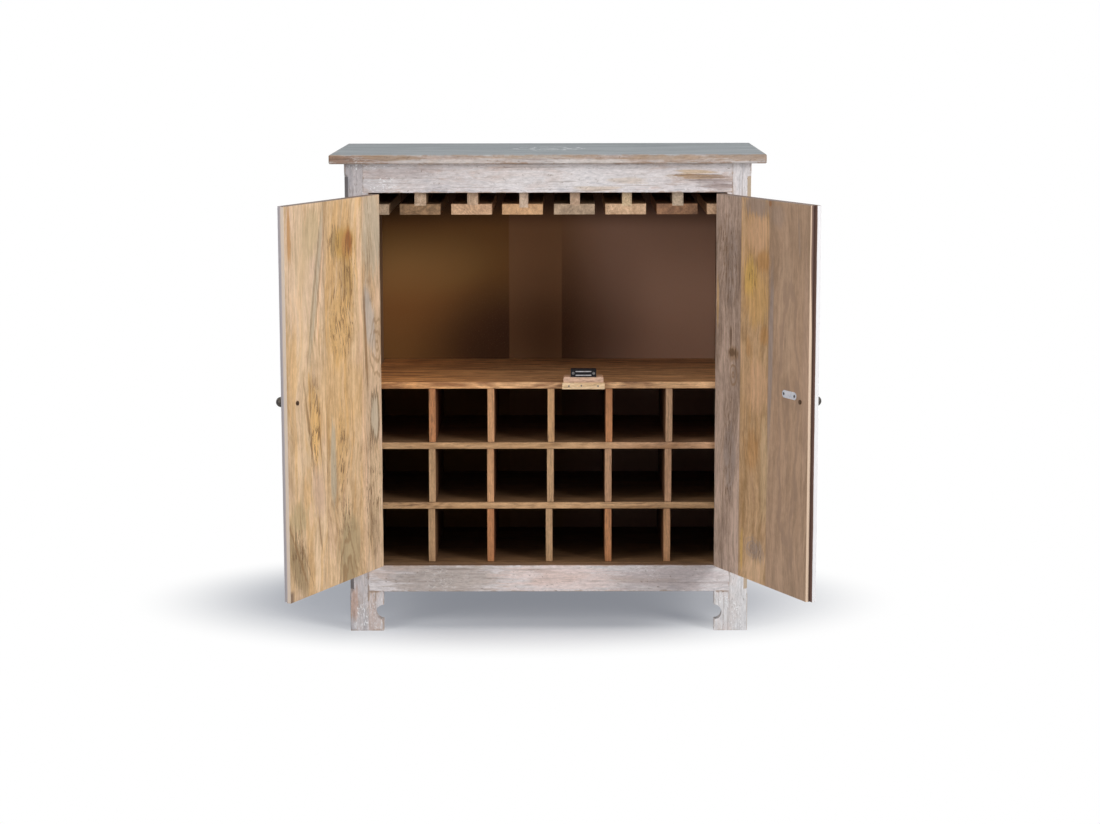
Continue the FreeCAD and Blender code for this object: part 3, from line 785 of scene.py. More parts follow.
# %% Top panel edges
EDGE_TONE, TOP_REACH, EDGE_COVER = (0.76, 0.74, 0.71), 0.010, 0.45
EDGE_SEED, EDGE_AMOUNT, EDGE_BIAS = 7.7, 0.44, 0.06
material, graph, shader = new_material("wash_top_panel")
place, vector = along_grain(graph, "X")
edge = worn_edge(graph, place, "top_panel", TOP_REACH)
low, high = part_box("top_panel")
edge_low = float(low[2])
side_colour, _, height = washed_colour(graph, vector, EDGE_SEED, EDGE_AMOUNT, edge, EDGE_BIAS, [
    (edge_low + 0.012, -0.42, 0.010, 0.08, (0.28, 0.16, 0.10), 0.85, 1.7),
    (edge_low + 0.013, -0.34, 0.006, 0.08, (0.34, 0.22, 0.13), 0.7, 1.4),
    (edge_low + 0.014, -0.02, 0.004, 0.14, (0.40, 0.29, 0.20), 0.5, 1.5),
    (edge_low + 0.012, 0.25, 0.006, 0.10, (0.38, 0.26, 0.16), 0.6, 1.5),
    (edge_low + 0.013, 0.40, 0.008, 0.08, (0.34, 0.23, 0.15), 0.7, 1.5),
    (edge_low + 0.005, 0.08, 0.005, 0.10, PLASTER_WHITE, 0.6, 1.4),
    (edge_low + 0.005, -0.20, 0.005, 0.10, PLASTER_WHITE, 0.5, 1.4),
])
side_colour = graph.tint(side_colour, EDGE_TONE)
print("top edge from", round(edge_low, 4), "up")

# %% Top panel face
TOP_GREYS = ((0.34, (0.14, 0.16, 0.17)), (0.5, (0.26, 0.285, 0.295)), (0.66, (0.43, 0.45, 0.46)))
TOP_SEED, TOP_RINGS, TOP_FIBRE, TOP_DROP = 3.1, 10.0, 0.35, -0.17
ROSETTE_PALE, ROSETTE_RADIUS, ROSETTE_SHARE, ROSETTE_LINES = (0.78, 0.80, 0.79), 0.088, 0.9, 3.0
PETALS, PETAL_SWELL, LINE_FADE, ROSETTE_FADE = 10.0, 0.32, (0.26, 0.14), (1.02, 0.98)
RUBBED, TOP_FEEL = (((60.0, 60.0, 60.0), 4.0, 0.7), 0.42, 0.62), (0.62, 0.35, 0.001)
grain = graph.group(GRAIN, Vector=vector, Seed=TOP_SEED, Ring_Count=TOP_RINGS)
level = graph.weighted(graph.math("ADD", grain["Streak"], TOP_DROP), (grain["Fibre"], TOP_FIBRE))
grey = graph.ramp(level, TOP_GREYS)
x, y, _ = graph.split(place)
y = graph.math("SUBTRACT", y, float(low[1] + high[1]) / 2)
radius = graph.vector("LENGTH", graph.join(x, y, 0.0))
angle = graph.math("ARCTAN2", y, x)
swell = graph.math("ABSOLUTE", graph.math("COSINE", graph.times(angle, PETALS / 2)))
outline = graph.math("MULTIPLY_ADD", graph.math("SQRT", swell), PETAL_SWELL, 1.0 - PETAL_SWELL)
reach = graph.math("DIVIDE", graph.math("DIVIDE", radius, ROSETTE_RADIUS), outline)
turn = graph.math("FRACT", graph.times(reach, ROSETTE_LINES))
line = graph.math("ABSOLUTE", graph.math("SUBTRACT", turn, 0.5))
drawn = graph.times(graph.step(line, *LINE_FADE), graph.step(reach, *ROSETTE_FADE))
grey = graph.mix(graph.times(drawn, graph.spots(place, *RUBBED), ROSETTE_SHARE), grey, ROSETTE_PALE)
grey = graph.mix(graph.times(edge, EDGE_COVER), grey, BARE_LIGHT)
colour = graph.mix(graph.step(graph.facing()[2], *LOOKS_THERE), side_colour, grey)
surface(graph, shader, colour, height, TOP_FEEL)
dress("top_panel", material)
print("top panel:", material.name)

# %% [markdown]
# ## Doors
# A door is three boards glued edge to edge. Each door has its own coordinates: across from the hinge pin,
# through the thickness from the pin, and up. The joint in the record says where the pin is and how far the
# door stands open, so turning the coordinates back by that angle lays the pattern on the closed door, and
# it stays on the wood.


# %% Door coordinates
joints = {joint["name"]: joint for joint in record["behaviour"]["joints"]}
DOOR_JOINTS = {"l": joints["left_door_hinge"], "r": joints["right_door_hinge"]}
DOOR_BODIES = {"l": "left_door", "r": "right_door"}


def door_turn(joint):
    """Angle about Z from the closed door to rest, and +1 or -1 for the way the door runs from its pin."""
    way = joint["axis"][2]
    return -math.radians(joint["range_deg"][0]) * way, 1.0 if way < 0 else -1.0


def door_place(graph, joint):
    """Coordinates of the closed door: across from the pin, back from the pin, up."""
    turn, side = door_turn(joint)
    place = {"Vector": graph.place(), "Location": (joint["pos_m"][0], joint["pos_m"][1], 0.0)}
    place.update({"Rotation": (0.0, 0.0, turn), "Scale": (side, 1.0, 1.0)})
    return graph.add("ShaderNodeMapping", vector_type="TEXTURE", inputs=place).outputs[0]


def from_door(joint, points):
    """Points given as across, through and up on the closed door, put where the door stands at rest."""
    turn, side = door_turn(joint)
    points = np.asarray(points, float)
    x, y = side * points[..., 0], points[..., 1]
    pin_x, pin_y = joint["pos_m"][0], joint["pos_m"][1]
    cosine, sine = math.cos(turn), math.sin(turn)
    return np.stack([pin_x + cosine * x - sine * y, pin_y + sine * x + cosine * y, points[..., 2]], axis=-1)


def to_door(joint, points):
    """The opposite of from_door."""
    turn, side = door_turn(joint)
    points = np.asarray(points, float)
    x, y = points[..., 0] - joint["pos_m"][0], points[..., 1] - joint["pos_m"][1]
    cosine, sine = math.cos(turn), math.sin(turn)
    return np.stack([side * (cosine * x + sine * y), cosine * y - sine * x, points[..., 2]], axis=-1)


BOLTS = {}
for side, joint in DOOR_JOINTS.items():
    low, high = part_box("knob_bolt_" + side)
    BOLTS[side] = to_door(joint, (np.array(low) + high) / 2)
print("bolts in door coordinates:", {side: place.round(4).tolist() for side, place in BOLTS.items()})

# %% [markdown]
# ## Figure of the door boards
# The inner faces are bare mango-coloured wood full of figure: grey heartwood by the hinge, golden patches,
# olive streaks, knots. Each is listed where it lies on its door, in metres across from the pin and up, as
# a stain or a ring figure over the grain of its board. A stain row goes on with tone, strength,
# raggedness, slant and rim, a ring row with count, tone and strength, and a fleck row ends with its half
# sizes.

# %% Tones of the doors
GREY_OLIVE, GREY_MAUVE, EARTH = (0.53, 0.44, 0.32), (0.50, 0.43, 0.37), (0.26, 0.145, 0.06)
PALE, GOLD, RUST = (0.84, 0.57, 0.36), (0.50, 0.25, 0.08), (0.33, 0.13, 0.04)
OCHRE, LICHEN, OLIVE_DARK = (0.52, 0.31, 0.10), (0.45, 0.375, 0.265), (0.40, 0.30, 0.165)
UMBER, OLIVE, SAND_GREY = (0.34, 0.235, 0.12), (0.45, 0.335, 0.18), (0.62, 0.45, 0.27)
ASH, ASH_BROWN, BARK = (0.35, 0.275, 0.24), (0.36, 0.26, 0.20), (0.13, 0.07, 0.035)
ROSE_TAN, YELLOW, PALE_ROSE = (0.70, 0.43, 0.25), (0.74, 0.46, 0.11), (0.78, 0.575, 0.42)
HONEY, SAND_ROSE = (0.71, 0.42, 0.15), (0.56, 0.385, 0.26)
MAUVE, MAUVE_DARK = (0.52, 0.345, 0.245), (0.33, 0.215, 0.15)
print("darkest tone of the doors:", min((BARK, RUST, EARTH), key=sum))

# %% Figure of both doors
DOORS = {
    "l": dict(
        seams=(0.073, 0.226),
        tones=(
            ((0.46, 0.315, 0.195), (0.80, 0.575, 0.38)),
            ((0.46, 0.29, 0.145), (0.80, 0.565, 0.34)),
            ((0.45, 0.295, 0.16), (0.79, 0.565, 0.355)),
        ),
        stains=[
            (0.310, 0.800, 0.090, 0.150, PALE_ROSE, 0.4, 0.7),
            (0.180, 0.520, 0.120, 0.120, HONEY, 0.25, 0.8),
            (0.035, 0.850, 0.045, 0.105, GREY_OLIVE, 0.8, 0.7),
            (0.050, 0.675, 0.025, 0.080, GREY_MAUVE, 0.8, 0.8, 0.2),
            (0.065, 0.635, 0.006, 0.130, EARTH, 0.85, 1.0, 0.06),
            (0.030, 0.470, 0.020, 0.060, GREY_OLIVE, 0.85, 0.7, 0.0, 0.75),
            (0.015, 0.710, 0.012, 0.035, PALE, 0.5, 0.8),
            (0.035, 0.245, 0.035, 0.060, UMBER, 0.35, 1.7),
            (0.030, 0.330, 0.030, 0.080, SAND_GREY, 0.5, 1.5),
            (0.050, 0.310, 0.004, 0.140, EARTH, 0.5, 1.6),
            (0.085, 0.750, 0.010, 0.190, PALE, 0.75, 0.25, 0.04),
            (0.075, 0.365, 0.010, 0.230, PALE, 0.6, 0.3),
            (0.150, 0.840, 0.050, 0.040, OCHRE, 1.0, 0.7),
            (0.135, 0.835, 0.025, 0.040, GOLD, 1.0, 0.7),
            (0.130, 0.840, 0.014, 0.026, RUST, 1.0, 0.6),
            (0.190, 0.840, 0.012, 0.035, UMBER, 0.6, 1.5),
            (0.135, 0.765, 0.025, 0.065, OCHRE, 0.6, 1.5),
            (0.125, 0.765, 0.004, 0.065, EARTH, 0.7, 1.6),
            (0.145, 0.755, 0.004, 0.075, EARTH, 0.6, 1.6),
            (0.170, 0.670, 0.055, 0.085, HONEY, 0.6, 1.0),
            (0.200, 0.395, 0.013, 0.110, LICHEN, 0.85, 0.8),
            (0.165, 0.420, 0.030, 0.095, HONEY, 0.35, 0.9),
            (0.140, 0.205, 0.050, 0.090, OLIVE_DARK, 0.85, 0.9),
            (0.140, 0.160, 0.030, 0.040, UMBER, 0.6, 1.0),
            (0.275, 0.870, 0.035, 0.060, OLIVE, 0.65, 1.0, -0.12),
            (0.315, 0.830, 0.035, 0.090, SAND_GREY, 0.5, 0.7),
            (0.357, 0.865, 0.007, 0.065, GOLD, 0.8, 0.9),
            (0.260, 0.760, 0.012, 0.170, LICHEN, 0.7, 0.7, -0.2),
            (0.268, 0.745, 0.004, 0.170, EARTH, 0.5, 1.3, -0.2),
            (0.247, 0.760, 0.003, 0.150, EARTH, 0.5, 1.3, -0.2),
            (0.245, 0.735, 0.005, 0.120, PALE, 0.6, 0.5, -0.15),
            (0.270, 0.480, 0.022, 0.110, HONEY, 0.8, 1.3, 0.13),
            (0.290, 0.470, 0.005, 0.110, EARTH, 0.75, 1.3, 0.18),
            (0.252, 0.470, 0.003, 0.110, EARTH, 0.6, 1.6, 0.12),
            (0.260, 0.350, 0.025, 0.060, MAUVE, 0.6, 1.3, 0.1),
            (0.255, 0.260, 0.003, 0.045, EARTH, 0.7, 0.8, 0.18),
            (0.335, 0.305, 0.035, 0.040, OLIVE, 0.8, 1.2),
            (0.290, 0.305, 0.010, 0.030, PALE, 0.6, 0.6),
            (0.345, 0.220, 0.035, 0.085, UMBER, 0.95, 1.3, 0.4),
            (0.335, 0.225, 0.005, 0.070, EARTH, 0.7, 1.4, 0.5),
            (0.350, 0.250, 0.003, 0.080, EARTH, 0.6, 1.5, 0.5),
            (0.310, 0.215, 0.003, 0.070, EARTH, 0.5, 1.5, 0.5),
        ],
        rings=[
            (0.020, 0.615, 0.034, 0.075, 3.0, EARTH, 0.5),
            (0.145, 0.120, 0.057, 0.165, 3.5, EARTH, 0.6),
            (0.300, 0.560, 0.035, 0.300, 2.5, SAND_GREY, 0.4),
        ],
        flecks=[
            (0.190, 0.690, 0.022, 0.085), (0.150, 0.675, 0.040, 0.075), (0.165, 0.405, 0.030, 0.090),
            (0.040, 0.300, 0.035, 0.150), (0.185, 0.840, 0.030, 0.040), (0.160, 0.280, 0.045, 0.050),
            (0.135, 0.790, 0.035, 0.085), (0.270, 0.480, 0.025, 0.110), (0.340, 0.230, 0.035, 0.070),
        ],
        zones=(0.6, 1.0, 1.0),
        lines=(1.0, 0.9, 0.9),
    ),
    "r": dict(
        seams=(0.103, 0.212),
        tones=(
            ((0.26, 0.18, 0.135), (0.63, 0.465, 0.37)),
            ((0.35, 0.21, 0.095), (0.68, 0.44, 0.25)),
            ((0.31, 0.20, 0.125), (0.51, 0.335, 0.22)),
        ),
        stains=[
            (0.060, 0.795, 0.030, 0.105, ASH, 0.45, 1.0),
            (0.065, 0.390, 0.025, 0.090, ASH, 0.75, 1.0),
            (0.010, 0.710, 0.005, 0.060, HONEY, 0.5, 0.8),
            (0.075, 0.605, 0.025, 0.017, EARTH, 0.6, 1.0),
            (0.065, 0.640, 0.006, 0.027, BARK, 0.8, 1.0),
            (0.072, 0.607, 0.019, 0.009, BARK, 0.9, 1.7),
            (0.170, 0.860, 0.050, 0.050, ROSE_TAN, 0.7, 0.7),
            (0.165, 0.915, 0.055, 0.025, ASH_BROWN, 0.9, 1.3),
            (0.215, 0.922, 0.006, 0.008, RUST, 0.7, 0.8),
            (0.165, 0.725, 0.050, 0.065, HONEY, 0.6, 0.8),
            (0.190, 0.805, 0.030, 0.025, GOLD, 0.6, 1.0),
            (0.140, 0.770, 0.025, 0.045, YELLOW, 0.65, 1.2),
            (0.195, 0.655, 0.020, 0.022, GOLD, 0.65, 1.1),
            (0.135, 0.625, 0.012, 0.025, GOLD, 0.5, 1.1),
            (0.170, 0.545, 0.050, 0.060, ROSE_TAN, 0.6, 0.8),
            (0.155, 0.415, 0.025, 0.050, GOLD, 0.55, 1.0),
            (0.200, 0.385, 0.020, 0.125, SAND_GREY, 0.5, 0.8),
            (0.170, 0.210, 0.040, 0.025, ASH, 0.55, 1.8),
            (0.115, 0.205, 0.006, 0.045, YELLOW, 0.5, 1.0),
            (0.160, 0.165, 0.035, 0.035, PALE, 0.5, 0.8),
            (0.275, 0.700, 0.035, 0.170, SAND_ROSE, 0.4, 0.8),
            (0.222, 0.620, 0.009, 0.200, ASH, 0.8, 0.5, 0.02),
            (0.355, 0.605, 0.015, 0.255, MAUVE, 0.5, 0.7),
            (0.245, 0.900, 0.030, 0.025, ASH_BROWN, 0.5, 1.0),
            (0.325, 0.860, 0.004, 0.045, ASH_BROWN, 0.6, 0.8, -0.1),
        ],
        rings=[
            (0.075, 0.560, 0.022, 0.032, 2.0, EARTH, 0.6),
            (0.160, 0.215, 0.035, 0.022, 2.5, ASH, 0.5),
            (0.290, 0.500, 0.055, 0.400, 2.0, MAUVE_DARK, 0.55),
        ],
        flecks=[
            (0.060, 0.360, 0.025, 0.085), (0.350, 0.375, 0.006, 0.016), (0.150, 0.765, 0.016, 0.020),
            (0.170, 0.210, 0.035, 0.022), (0.060, 0.465, 0.025, 0.065), (0.050, 0.800, 0.045, 0.110),
        ],
        zones=(0.0, 0.7, 0.0),
        lines=(1.0, 0.7, 0.25),
    ),
}
print("stains on each door:", [len(door["stains"]) for door in DOORS.values()])

# %% [markdown]
# ## Ground of the door boards
# Under the figure lies the plain wood of each board. The grain jumps at every seam, because the next board
# is another piece of wood, and it wanders a little along the door. Noises of several sizes add up to one
# level, and the level picks a tone between the board's dark and light one.

# %% Door ground
BOARD_JUMPS, SEAM_BLUR = ((0.31, 0.0, 0.77), (0.47, 0.0, 1.31)), 0.0003
WANDER, WANDER_REACH = ((4.0, 0.0, 3.0), 2.0, 0.5), (0.10, 0.0, 0.0)
DOOR_SLOW = ((16.0, 0.0, 2.2), 3.0, 0.5, 0.4)
DOOR_MOTTLE = ((36.0, 0.0, 8.0), 6.0, 0.68, 0.7)
DOOR_FIBRE = ((150.0, 0.0, 9.0), 5.0, 0.7)
DOOR_SPECK = ((170.0, 0.0, 50.0), 4.0, 0.75)
DOOR_ZONES = ((19.0, 0.0, 3.4), 6.0, 0.65, 0.8)
DOOR_RINGS, DOOR_START, DOOR_SPAN = 15.0, -1.14, (0.30, 0.70)
GOLD_ZONE, ROSE_ZONE = (1.0, 0.92, 0.76), (0.98, 0.97, 1.06)
ZONE_TONES = ((0.50, 0.62, GOLD_ZONE), (0.46, 0.36, ROSE_ZONE))


def by_board(graph, past, values):
    """The first, second or third value, as the place lies before, between or past the two seams."""
    return graph.mix(past[1], graph.mix(past[0], values[0], values[1]), values[2])


def shares_by_board(graph, past, shares):
    return by_board(graph, past, [(share, share, share) for share in shares])


def door_ground(graph, vector, seed, door):
    """Plain wood of the three boards, and what the figure needs: seam masks, coordinates, grain, noises."""
    across = graph.split(vector)[0]
    moved, past = vector, []
    for seam, jump in zip(door["seams"], BOARD_JUMPS):
        past.append(graph.step(across, seam - SEAM_BLUR, seam + SEAM_BLUR))
        moved = graph.moved(moved, jump, past[-1])
    wander = graph.math("SUBTRACT", graph.noise(moved, *WANDER), 0.5)
    moved = graph.moved(moved, WANDER_REACH, wander)
    grain = graph.group(GRAIN, Vector=moved, Seed=seed, Ring_Count=DOOR_RINGS)
    noises = (DOOR_SLOW, DOOR_MOTTLE, DOOR_FIBRE, DOOR_SPECK, DOOR_ZONES)
    slow, mottle, fibre, speck, zones = (graph.noise(moved, *noise) for noise in noises)
    parts = ((slow, 0.7), (mottle, 0.75), (grain["Streak"], 0.4), (fibre, 0.70), (speck, 0.66))
    level = graph.weighted(DOOR_START, *parts, (grain["Rings"], 0.06))
    wood = by_board(graph, past, [graph.ramp(level, tuple(zip(DOOR_SPAN, tones))) for tones in door["tones"]])
    amount = shares_by_board(graph, past, door["zones"])
    for low, high, tone in ZONE_TONES:
        wood = graph.tint(wood, tone, graph.times(graph.step(zones, low, high), amount))
    return wood, past, moved, grain, (mottle, fibre, speck)


print("doors:", list(DOORS))

# %% [markdown]
# ## Figure over the ground
# Stains come first, then dark and pale lines along the grain, ring figures, and open pores as short dark
# dashes. The pores are thick in the listed places and sparse elsewhere. Last come the seams between the
# boards.

# %% Door figure
SEAM_BROWN, SEAM_LINE, SEAM_SHARE = (0.20, 0.12, 0.07), (0.0016, 0.0004), 0.3
FLECK_BROWN, OPEN_SHARE, PORES_DARK, PORES_LIGHT, DOOR_FLECKS = (0.17, 0.09, 0.035), 0.5, 0.85, 0.5, 1.0
DARK_LINE, PALE_LINE = (0.60, 0.48, 0.34), (1.16, 1.16, 1.18)
GRAIN_LINES = (((120.0, 0.0, 4.5), DARK_LINE, 0.7), ((95.0, 0.0, 3.5), PALE_LINE, 0.5))
LINE_NOISE, LINE_LIMITS = (3.0, 0.6, 0.3), (0.55, 0.66)
PATCHY = (((12.0, 0.0, 3.0), 2.0), 0.40, 0.62)
DOOR_DASHES = (((240.0, 0.0, 30.0), 4.0, 0.65, 0.2), 0.53, 0.58)
OPEN_PATCHES = (((15.0, 0.0, 5.0), 3.0), 0.50, 0.66)
TEXTURE_WEIGHTS = (0.8, 0.8, 0.4)


def door_boards(graph, vector, seed, door):
    """Colour of the bare inner face, the fibre that goes with it, and a height for the bump."""
    wood, past, moved, grain, noises = door_ground(graph, vector, seed, door)
    texture = graph.weighted(0.0, *zip(noises, TEXTURE_WEIGHTS))
    wood = stained(graph, vector, wood, door["stains"], texture)
    drawn = graph.times(graph.spots(moved, *PATCHY), shares_by_board(graph, past, door["lines"]))
    for stretch, tone, strength in GRAIN_LINES:
        line = graph.spots(moved, (stretch, *LINE_NOISE), *LINE_LIMITS)
        wood = graph.tint(wood, tone, graph.times(line, drawn, strength))
    for across, along, half_width, half_length, count, tone, strength in door["rings"]:
        size = (half_width, ALL_THROUGH, half_length)
        figure = graph.group(RINGS, Vector=vector, Centre=(across, 0.0, along), Size=size, Count=count)
        wood = graph.mix(graph.times(figure["Mask"], figure["Lines"], strength), wood, tone)
    open_pores = graph.times(graph.spots(moved, *OPEN_PATCHES), drawn, OPEN_SHARE)
    for spot in door["flecks"]:
        open_pores = graph.math("MAXIMUM", open_pores, patch(graph, vector, spot, DOOR_FLECKS)["Mask"])
    open_pores = graph.times(open_pores, graph.spots(moved, *DOOR_DASHES))
    wood = graph.mix(graph.times(open_pores, PORES_DARK), wood, FLECK_BROWN)
    wood = graph.mix(graph.times(grain["Pores"], drawn, PORES_LIGHT), wood, FLECK_BROWN)
    for seam in door["seams"]:
        away = graph.math("ABSOLUTE", graph.math("SUBTRACT", graph.split(vector)[0], seam))
        wood = graph.mix(graph.times(graph.step(away, *SEAM_LINE), SEAM_SHARE), wood, SEAM_BROWN)
    return wood, noises[1], graph.math("SUBTRACT", grain["Fibre"], open_pores)


print("figure of a door:", [len(DOORS["l"][kind]) for kind in ("stains", "rings", "flecks")])

# %% [markdown]
# ## Door faces and edges
# The outer face and the edges are washed like the frame. On the meeting edges some bare wood shows: the
# left door's lip is grey, with a chipped lower corner, and the right door's rebate is bare and dark
# between a pale arris and the white paint of the lip. Where a finish changes, two places a fraction of a
# millimetre apart say how sharply.

# %% Door edges
SHORT_END, LONG_END = (0.3648, 0.3652), (0.3726, 0.3730)
BEHIND_FACE, LAP, INNER_FACE = (0.0062, 0.0066), (0.0150, 0.0156), (0.0243, 0.0247)
OUTER_EDGE = {"l": (0.43, 0.39, 0.40), "r": (0.93, 0.92, 0.92)}
LIP_GREY, LIP_FIBRE = (0.47, 0.41, 0.42), (0.40, 0.62)
LIP_TAN, LIP_ARRIS = (0.71, 0.57, 0.45), (0.0165, 0.0185)
CHIP_BROWN, CHIP_SHARE, CHIP_TOP, CHIP_SIDE = (0.12, 0.07, 0.05), 0.8, (0.172, 0.160), (0.355, 0.367)
REBATE_RED, REBATE_START, REBATE_UNEVEN = (0.13, 0.068, 0.05), (0.0140, 0.0150), 0.002
REBATE_WIDER, WIDER_HEIGHT = -0.004, (0.66, 0.82)
EDGE_TAN, TAN_START = (0.22, 0.13, 0.08), (0.0168, 0.0178)
EDGE_PALE, PALE_START = (0.62, 0.46, 0.33), (0.0182, 0.0195)


def left_lip(graph, place, fibre):
    """Mask and colour of the left door's lip: grey with pink fibres, tan on the inner arris."""
    across, through, _ = place
    lip = graph.times(graph.step(across, *LONG_END), graph.step(through, *LAP))
    colour = graph.mix(graph.step(fibre, *LIP_FIBRE), LIP_GREY, WASH_PINK)
    return lip, graph.mix(graph.step(through, *LIP_ARRIS), colour, LIP_TAN)


def right_rebate(graph, place, fibre):
    """Mask and colour of the right door's rebate: white, dark red that widens near the top, tan, pale."""
    across, through, up = place
    lip = graph.times(graph.step(across, *SHORT_END), graph.step(through, *BEHIND_FACE))
    depth = graph.weighted(through, (graph.math("SUBTRACT", fibre, 0.5), REBATE_UNEVEN))
    colour = graph.mix(graph.step(depth, *REBATE_START), PLASTER_WHITE, REBATE_RED)
    depth = graph.weighted(depth, (graph.step(up, *WIDER_HEIGHT), REBATE_WIDER))
    colour = graph.mix(graph.step(depth, *TAN_START), colour, EDGE_TAN)
    return lip, graph.mix(graph.step(depth, *PALE_START), colour, EDGE_PALE)


MEETING_EDGES = {"l": left_lip, "r": right_rebate}
print("meeting edges:", [edge.__name__ for edge in MEETING_EDGES.values()])

# %% Door finishes
DOOR_SEEDS = {"l": (2.0, 4.5), "r": (8.0, 6.2)}
DOOR_AMOUNT, DOOR_BIAS, DOOR_FEEL = 0.5, 0.05, (0.62, 0.35, 0.0008)
TOP_END, END_FIBRE = (0.16, 0.13, 0.12), (0.4, 0.6)
for side, joint in DOOR_JOINTS.items():
    material, graph, shader = new_material("wood_door_" + side)
    vector = door_place(graph, joint)
    across, through, up = graph.split(vector)
    wood_seed, wash_seed = DOOR_SEEDS[side]
    wood, fibre, height = door_boards(graph, vector, wood_seed, DOORS[side])
    washed = washed_colour(graph, vector, wash_seed, DOOR_AMOUNT, 0.0, DOOR_BIAS)[0]
    lip, bare = MEETING_EDGES[side](graph, (across, through, up), fibre)
    if side == "l":
        chip = graph.times(graph.step(up, *CHIP_TOP), graph.step(across, *CHIP_SIDE), CHIP_SHARE)
        wood = graph.mix(chip, wood, CHIP_BROWN)
    paint = graph.times(graph.step(through, *BEHIND_FACE), graph.step(through, *LAP[::-1]))
    paint = graph.times(graph.step(across, *SHORT_END), paint)
    edges = graph.mix(lip, graph.mix(paint, washed, OUTER_EDGE[side]), bare)
    colour = graph.mix(graph.step(through, *INNER_FACE), edges, wood)
    end = graph.mix(graph.step(fibre, *END_FIBRE), TOP_END, BARE_DARK)
    colour = graph.mix(graph.step(graph.facing()[2], *LOOKS_THERE), colour, end)
    surface(graph, shader, colour, height, DOOR_FEEL)
    dress("door_" + side, material)
    print("door", side, "has", len(material.node_tree.nodes), "shader nodes")

# %% [markdown]
# ## Metal and plastic
# Hinges are dull steel with a yellowed coat, the knobs are dark cast iron, the catch is black plastic with
# bright pole strips. Handling and age show as a slow change of colour and roughness, so every metal mixes
# two tones.

# %% Fitting finishes
MOTTLE_SPOTS = (((90.0, 90.0, 90.0), 5.0, 0.65), 0.40, 0.66)
CAST_NOISE, WORN_ROUGHER, CAST_BUMP, CAST_DEPTH = ((900.0, 900.0, 900.0), 2.0), 0.15, 0.08, 0.0003


def mottled_finish(name, colour, worn, metallic, roughness, shine=0.5):
    """Two tones under fine noise, the worn tone also a little rougher."""
    material, graph, shader = new_material(name)
    place = graph.place()
    spots = graph.spots(place, *MOTTLE_SPOTS)
    rough = graph.math("MULTIPLY_ADD", spots, WORN_ROUGHER, roughness)
    height = graph.noise(place, *CAST_NOISE)
    surface(graph, shader, graph.mix(spots, colour, worn), height, (rough, CAST_BUMP, CAST_DEPTH))
    shader.inputs["Metallic"].default_value = metallic
    shader.inputs["Specular IOR Level"].default_value = shine
    return material


FINISHES = {
    "hinge_steel": ((0.46, 0.42, 0.34), (0.30, 0.25, 0.18), 1.0, 0.38),
    "bolt_steel": ((0.12, 0.09, 0.075), (0.24, 0.16, 0.10), 1.0, 0.45),
    "knob_iron": ((0.045, 0.042, 0.040), (0.10, 0.085, 0.07), 0.8, 0.42),
    "catch_plastic": ((0.010, 0.009, 0.011), (0.018, 0.016, 0.018), 0.0, 0.45, 0.1),
    "pole_steel": ((0.44, 0.42, 0.43), (0.28, 0.26, 0.26), 1.0, 0.38),
    "strike_steel": ((0.86, 0.90, 0.97), (0.62, 0.68, 0.80), 0.25, 0.35),
    "dark_screw": ((0.09, 0.09, 0.10), (0.20, 0.19, 0.18), 1.0, 0.40),
}
finishes = {name: mottled_finish(name, *values) for name, values in FINISHES.items()}
for entry in record["subparts"]:
    if entry["material_slot"] in finishes:
        dress(entry["node"], finishes[entry["material_slot"]])
print("fittings:", list(finishes))

# %% [markdown]
# ## Turned knobs
# A knob is turned on a lathe: a rose against the door, a thin neck, a rounded head with a small bead. In
# Blender it could be a Screw modifier on a curve, but a grid of angle by place along the profile gives the
# whole surface at once. The profile here is smooth because the corner points are blended by a cosine along
# the axis.


# %% Pieces from grids
def mesh_piece(name, points, faces, slot, body):
    """New piece from points and faces, with its faces turned outwards, riding on a body."""
    mesh = bpy.data.meshes.new(name)
    mesh.from_pydata(np.asarray(points).tolist(), [], faces)
    mesh.materials.append(finishes[slot])
    shape = bmesh.new()
    shape.from_mesh(mesh)
    bmesh.ops.recalc_face_normals(shape, faces=shape.faces)
    shape.to_mesh(mesh)
    shape.free()
    mesh.polygons.foreach_set("use_smooth", np.ones(len(mesh.polygons), bool))
    mesh.update()
    piece = bpy.data.objects.new(name, mesh)
    bpy.context.scene.collection.objects.link(piece)
    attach(piece, body)
    return piece


def tube_faces(rings, around, copies=1):
    """Faces of copies of a tube of rings by around points: quads round the axis and one cap at each end.

    The point index is (copy * rings + ring) * around + place.
    """
    first = (np.arange(copies) * rings * around)[:, None, None]
    ring, place = np.meshgrid(np.arange(rings - 1), np.arange(around), indexing="ij")
    after = (place + 1) % around
    low, high = ring * around, (ring + 1) * around
    quads = np.stack((low + place, low + after, high + after, high + place), axis=-1).reshape(-1, 4) + first
    caps = np.stack([np.arange(around), (rings - 1) * around + np.arange(around)]) + first
    return quads.reshape(-1, 4).tolist() + caps.reshape(-1, around).tolist()


print("a tube of 3 rings by 8 points has", len(tube_faces(3, 8)), "faces")

# %% Knobs
KNOB_CORNERS = [
    (0.0000, 0.0004), (0.0000, 0.0080), (0.0012, 0.0082), (0.0024, 0.0070), (0.0034, 0.0072),
    (0.0042, 0.0050), (0.0070, 0.0044), (0.0088, 0.0062), (0.0094, 0.0068), (0.0102, 0.0062),
]
CORNER_STEPS, AROUND, DOOR_FRONT = 4, 40, 0.006
HEAD_MIDDLE, HEAD_RADIUS, HEAD_STEPS, POLE_ANGLE = 0.0170, 0.0102, 18, 0.03
FLAT_DEPTH, FLAT_START, FLAT_RUN = 0.0012, 0.0250, 0.0022


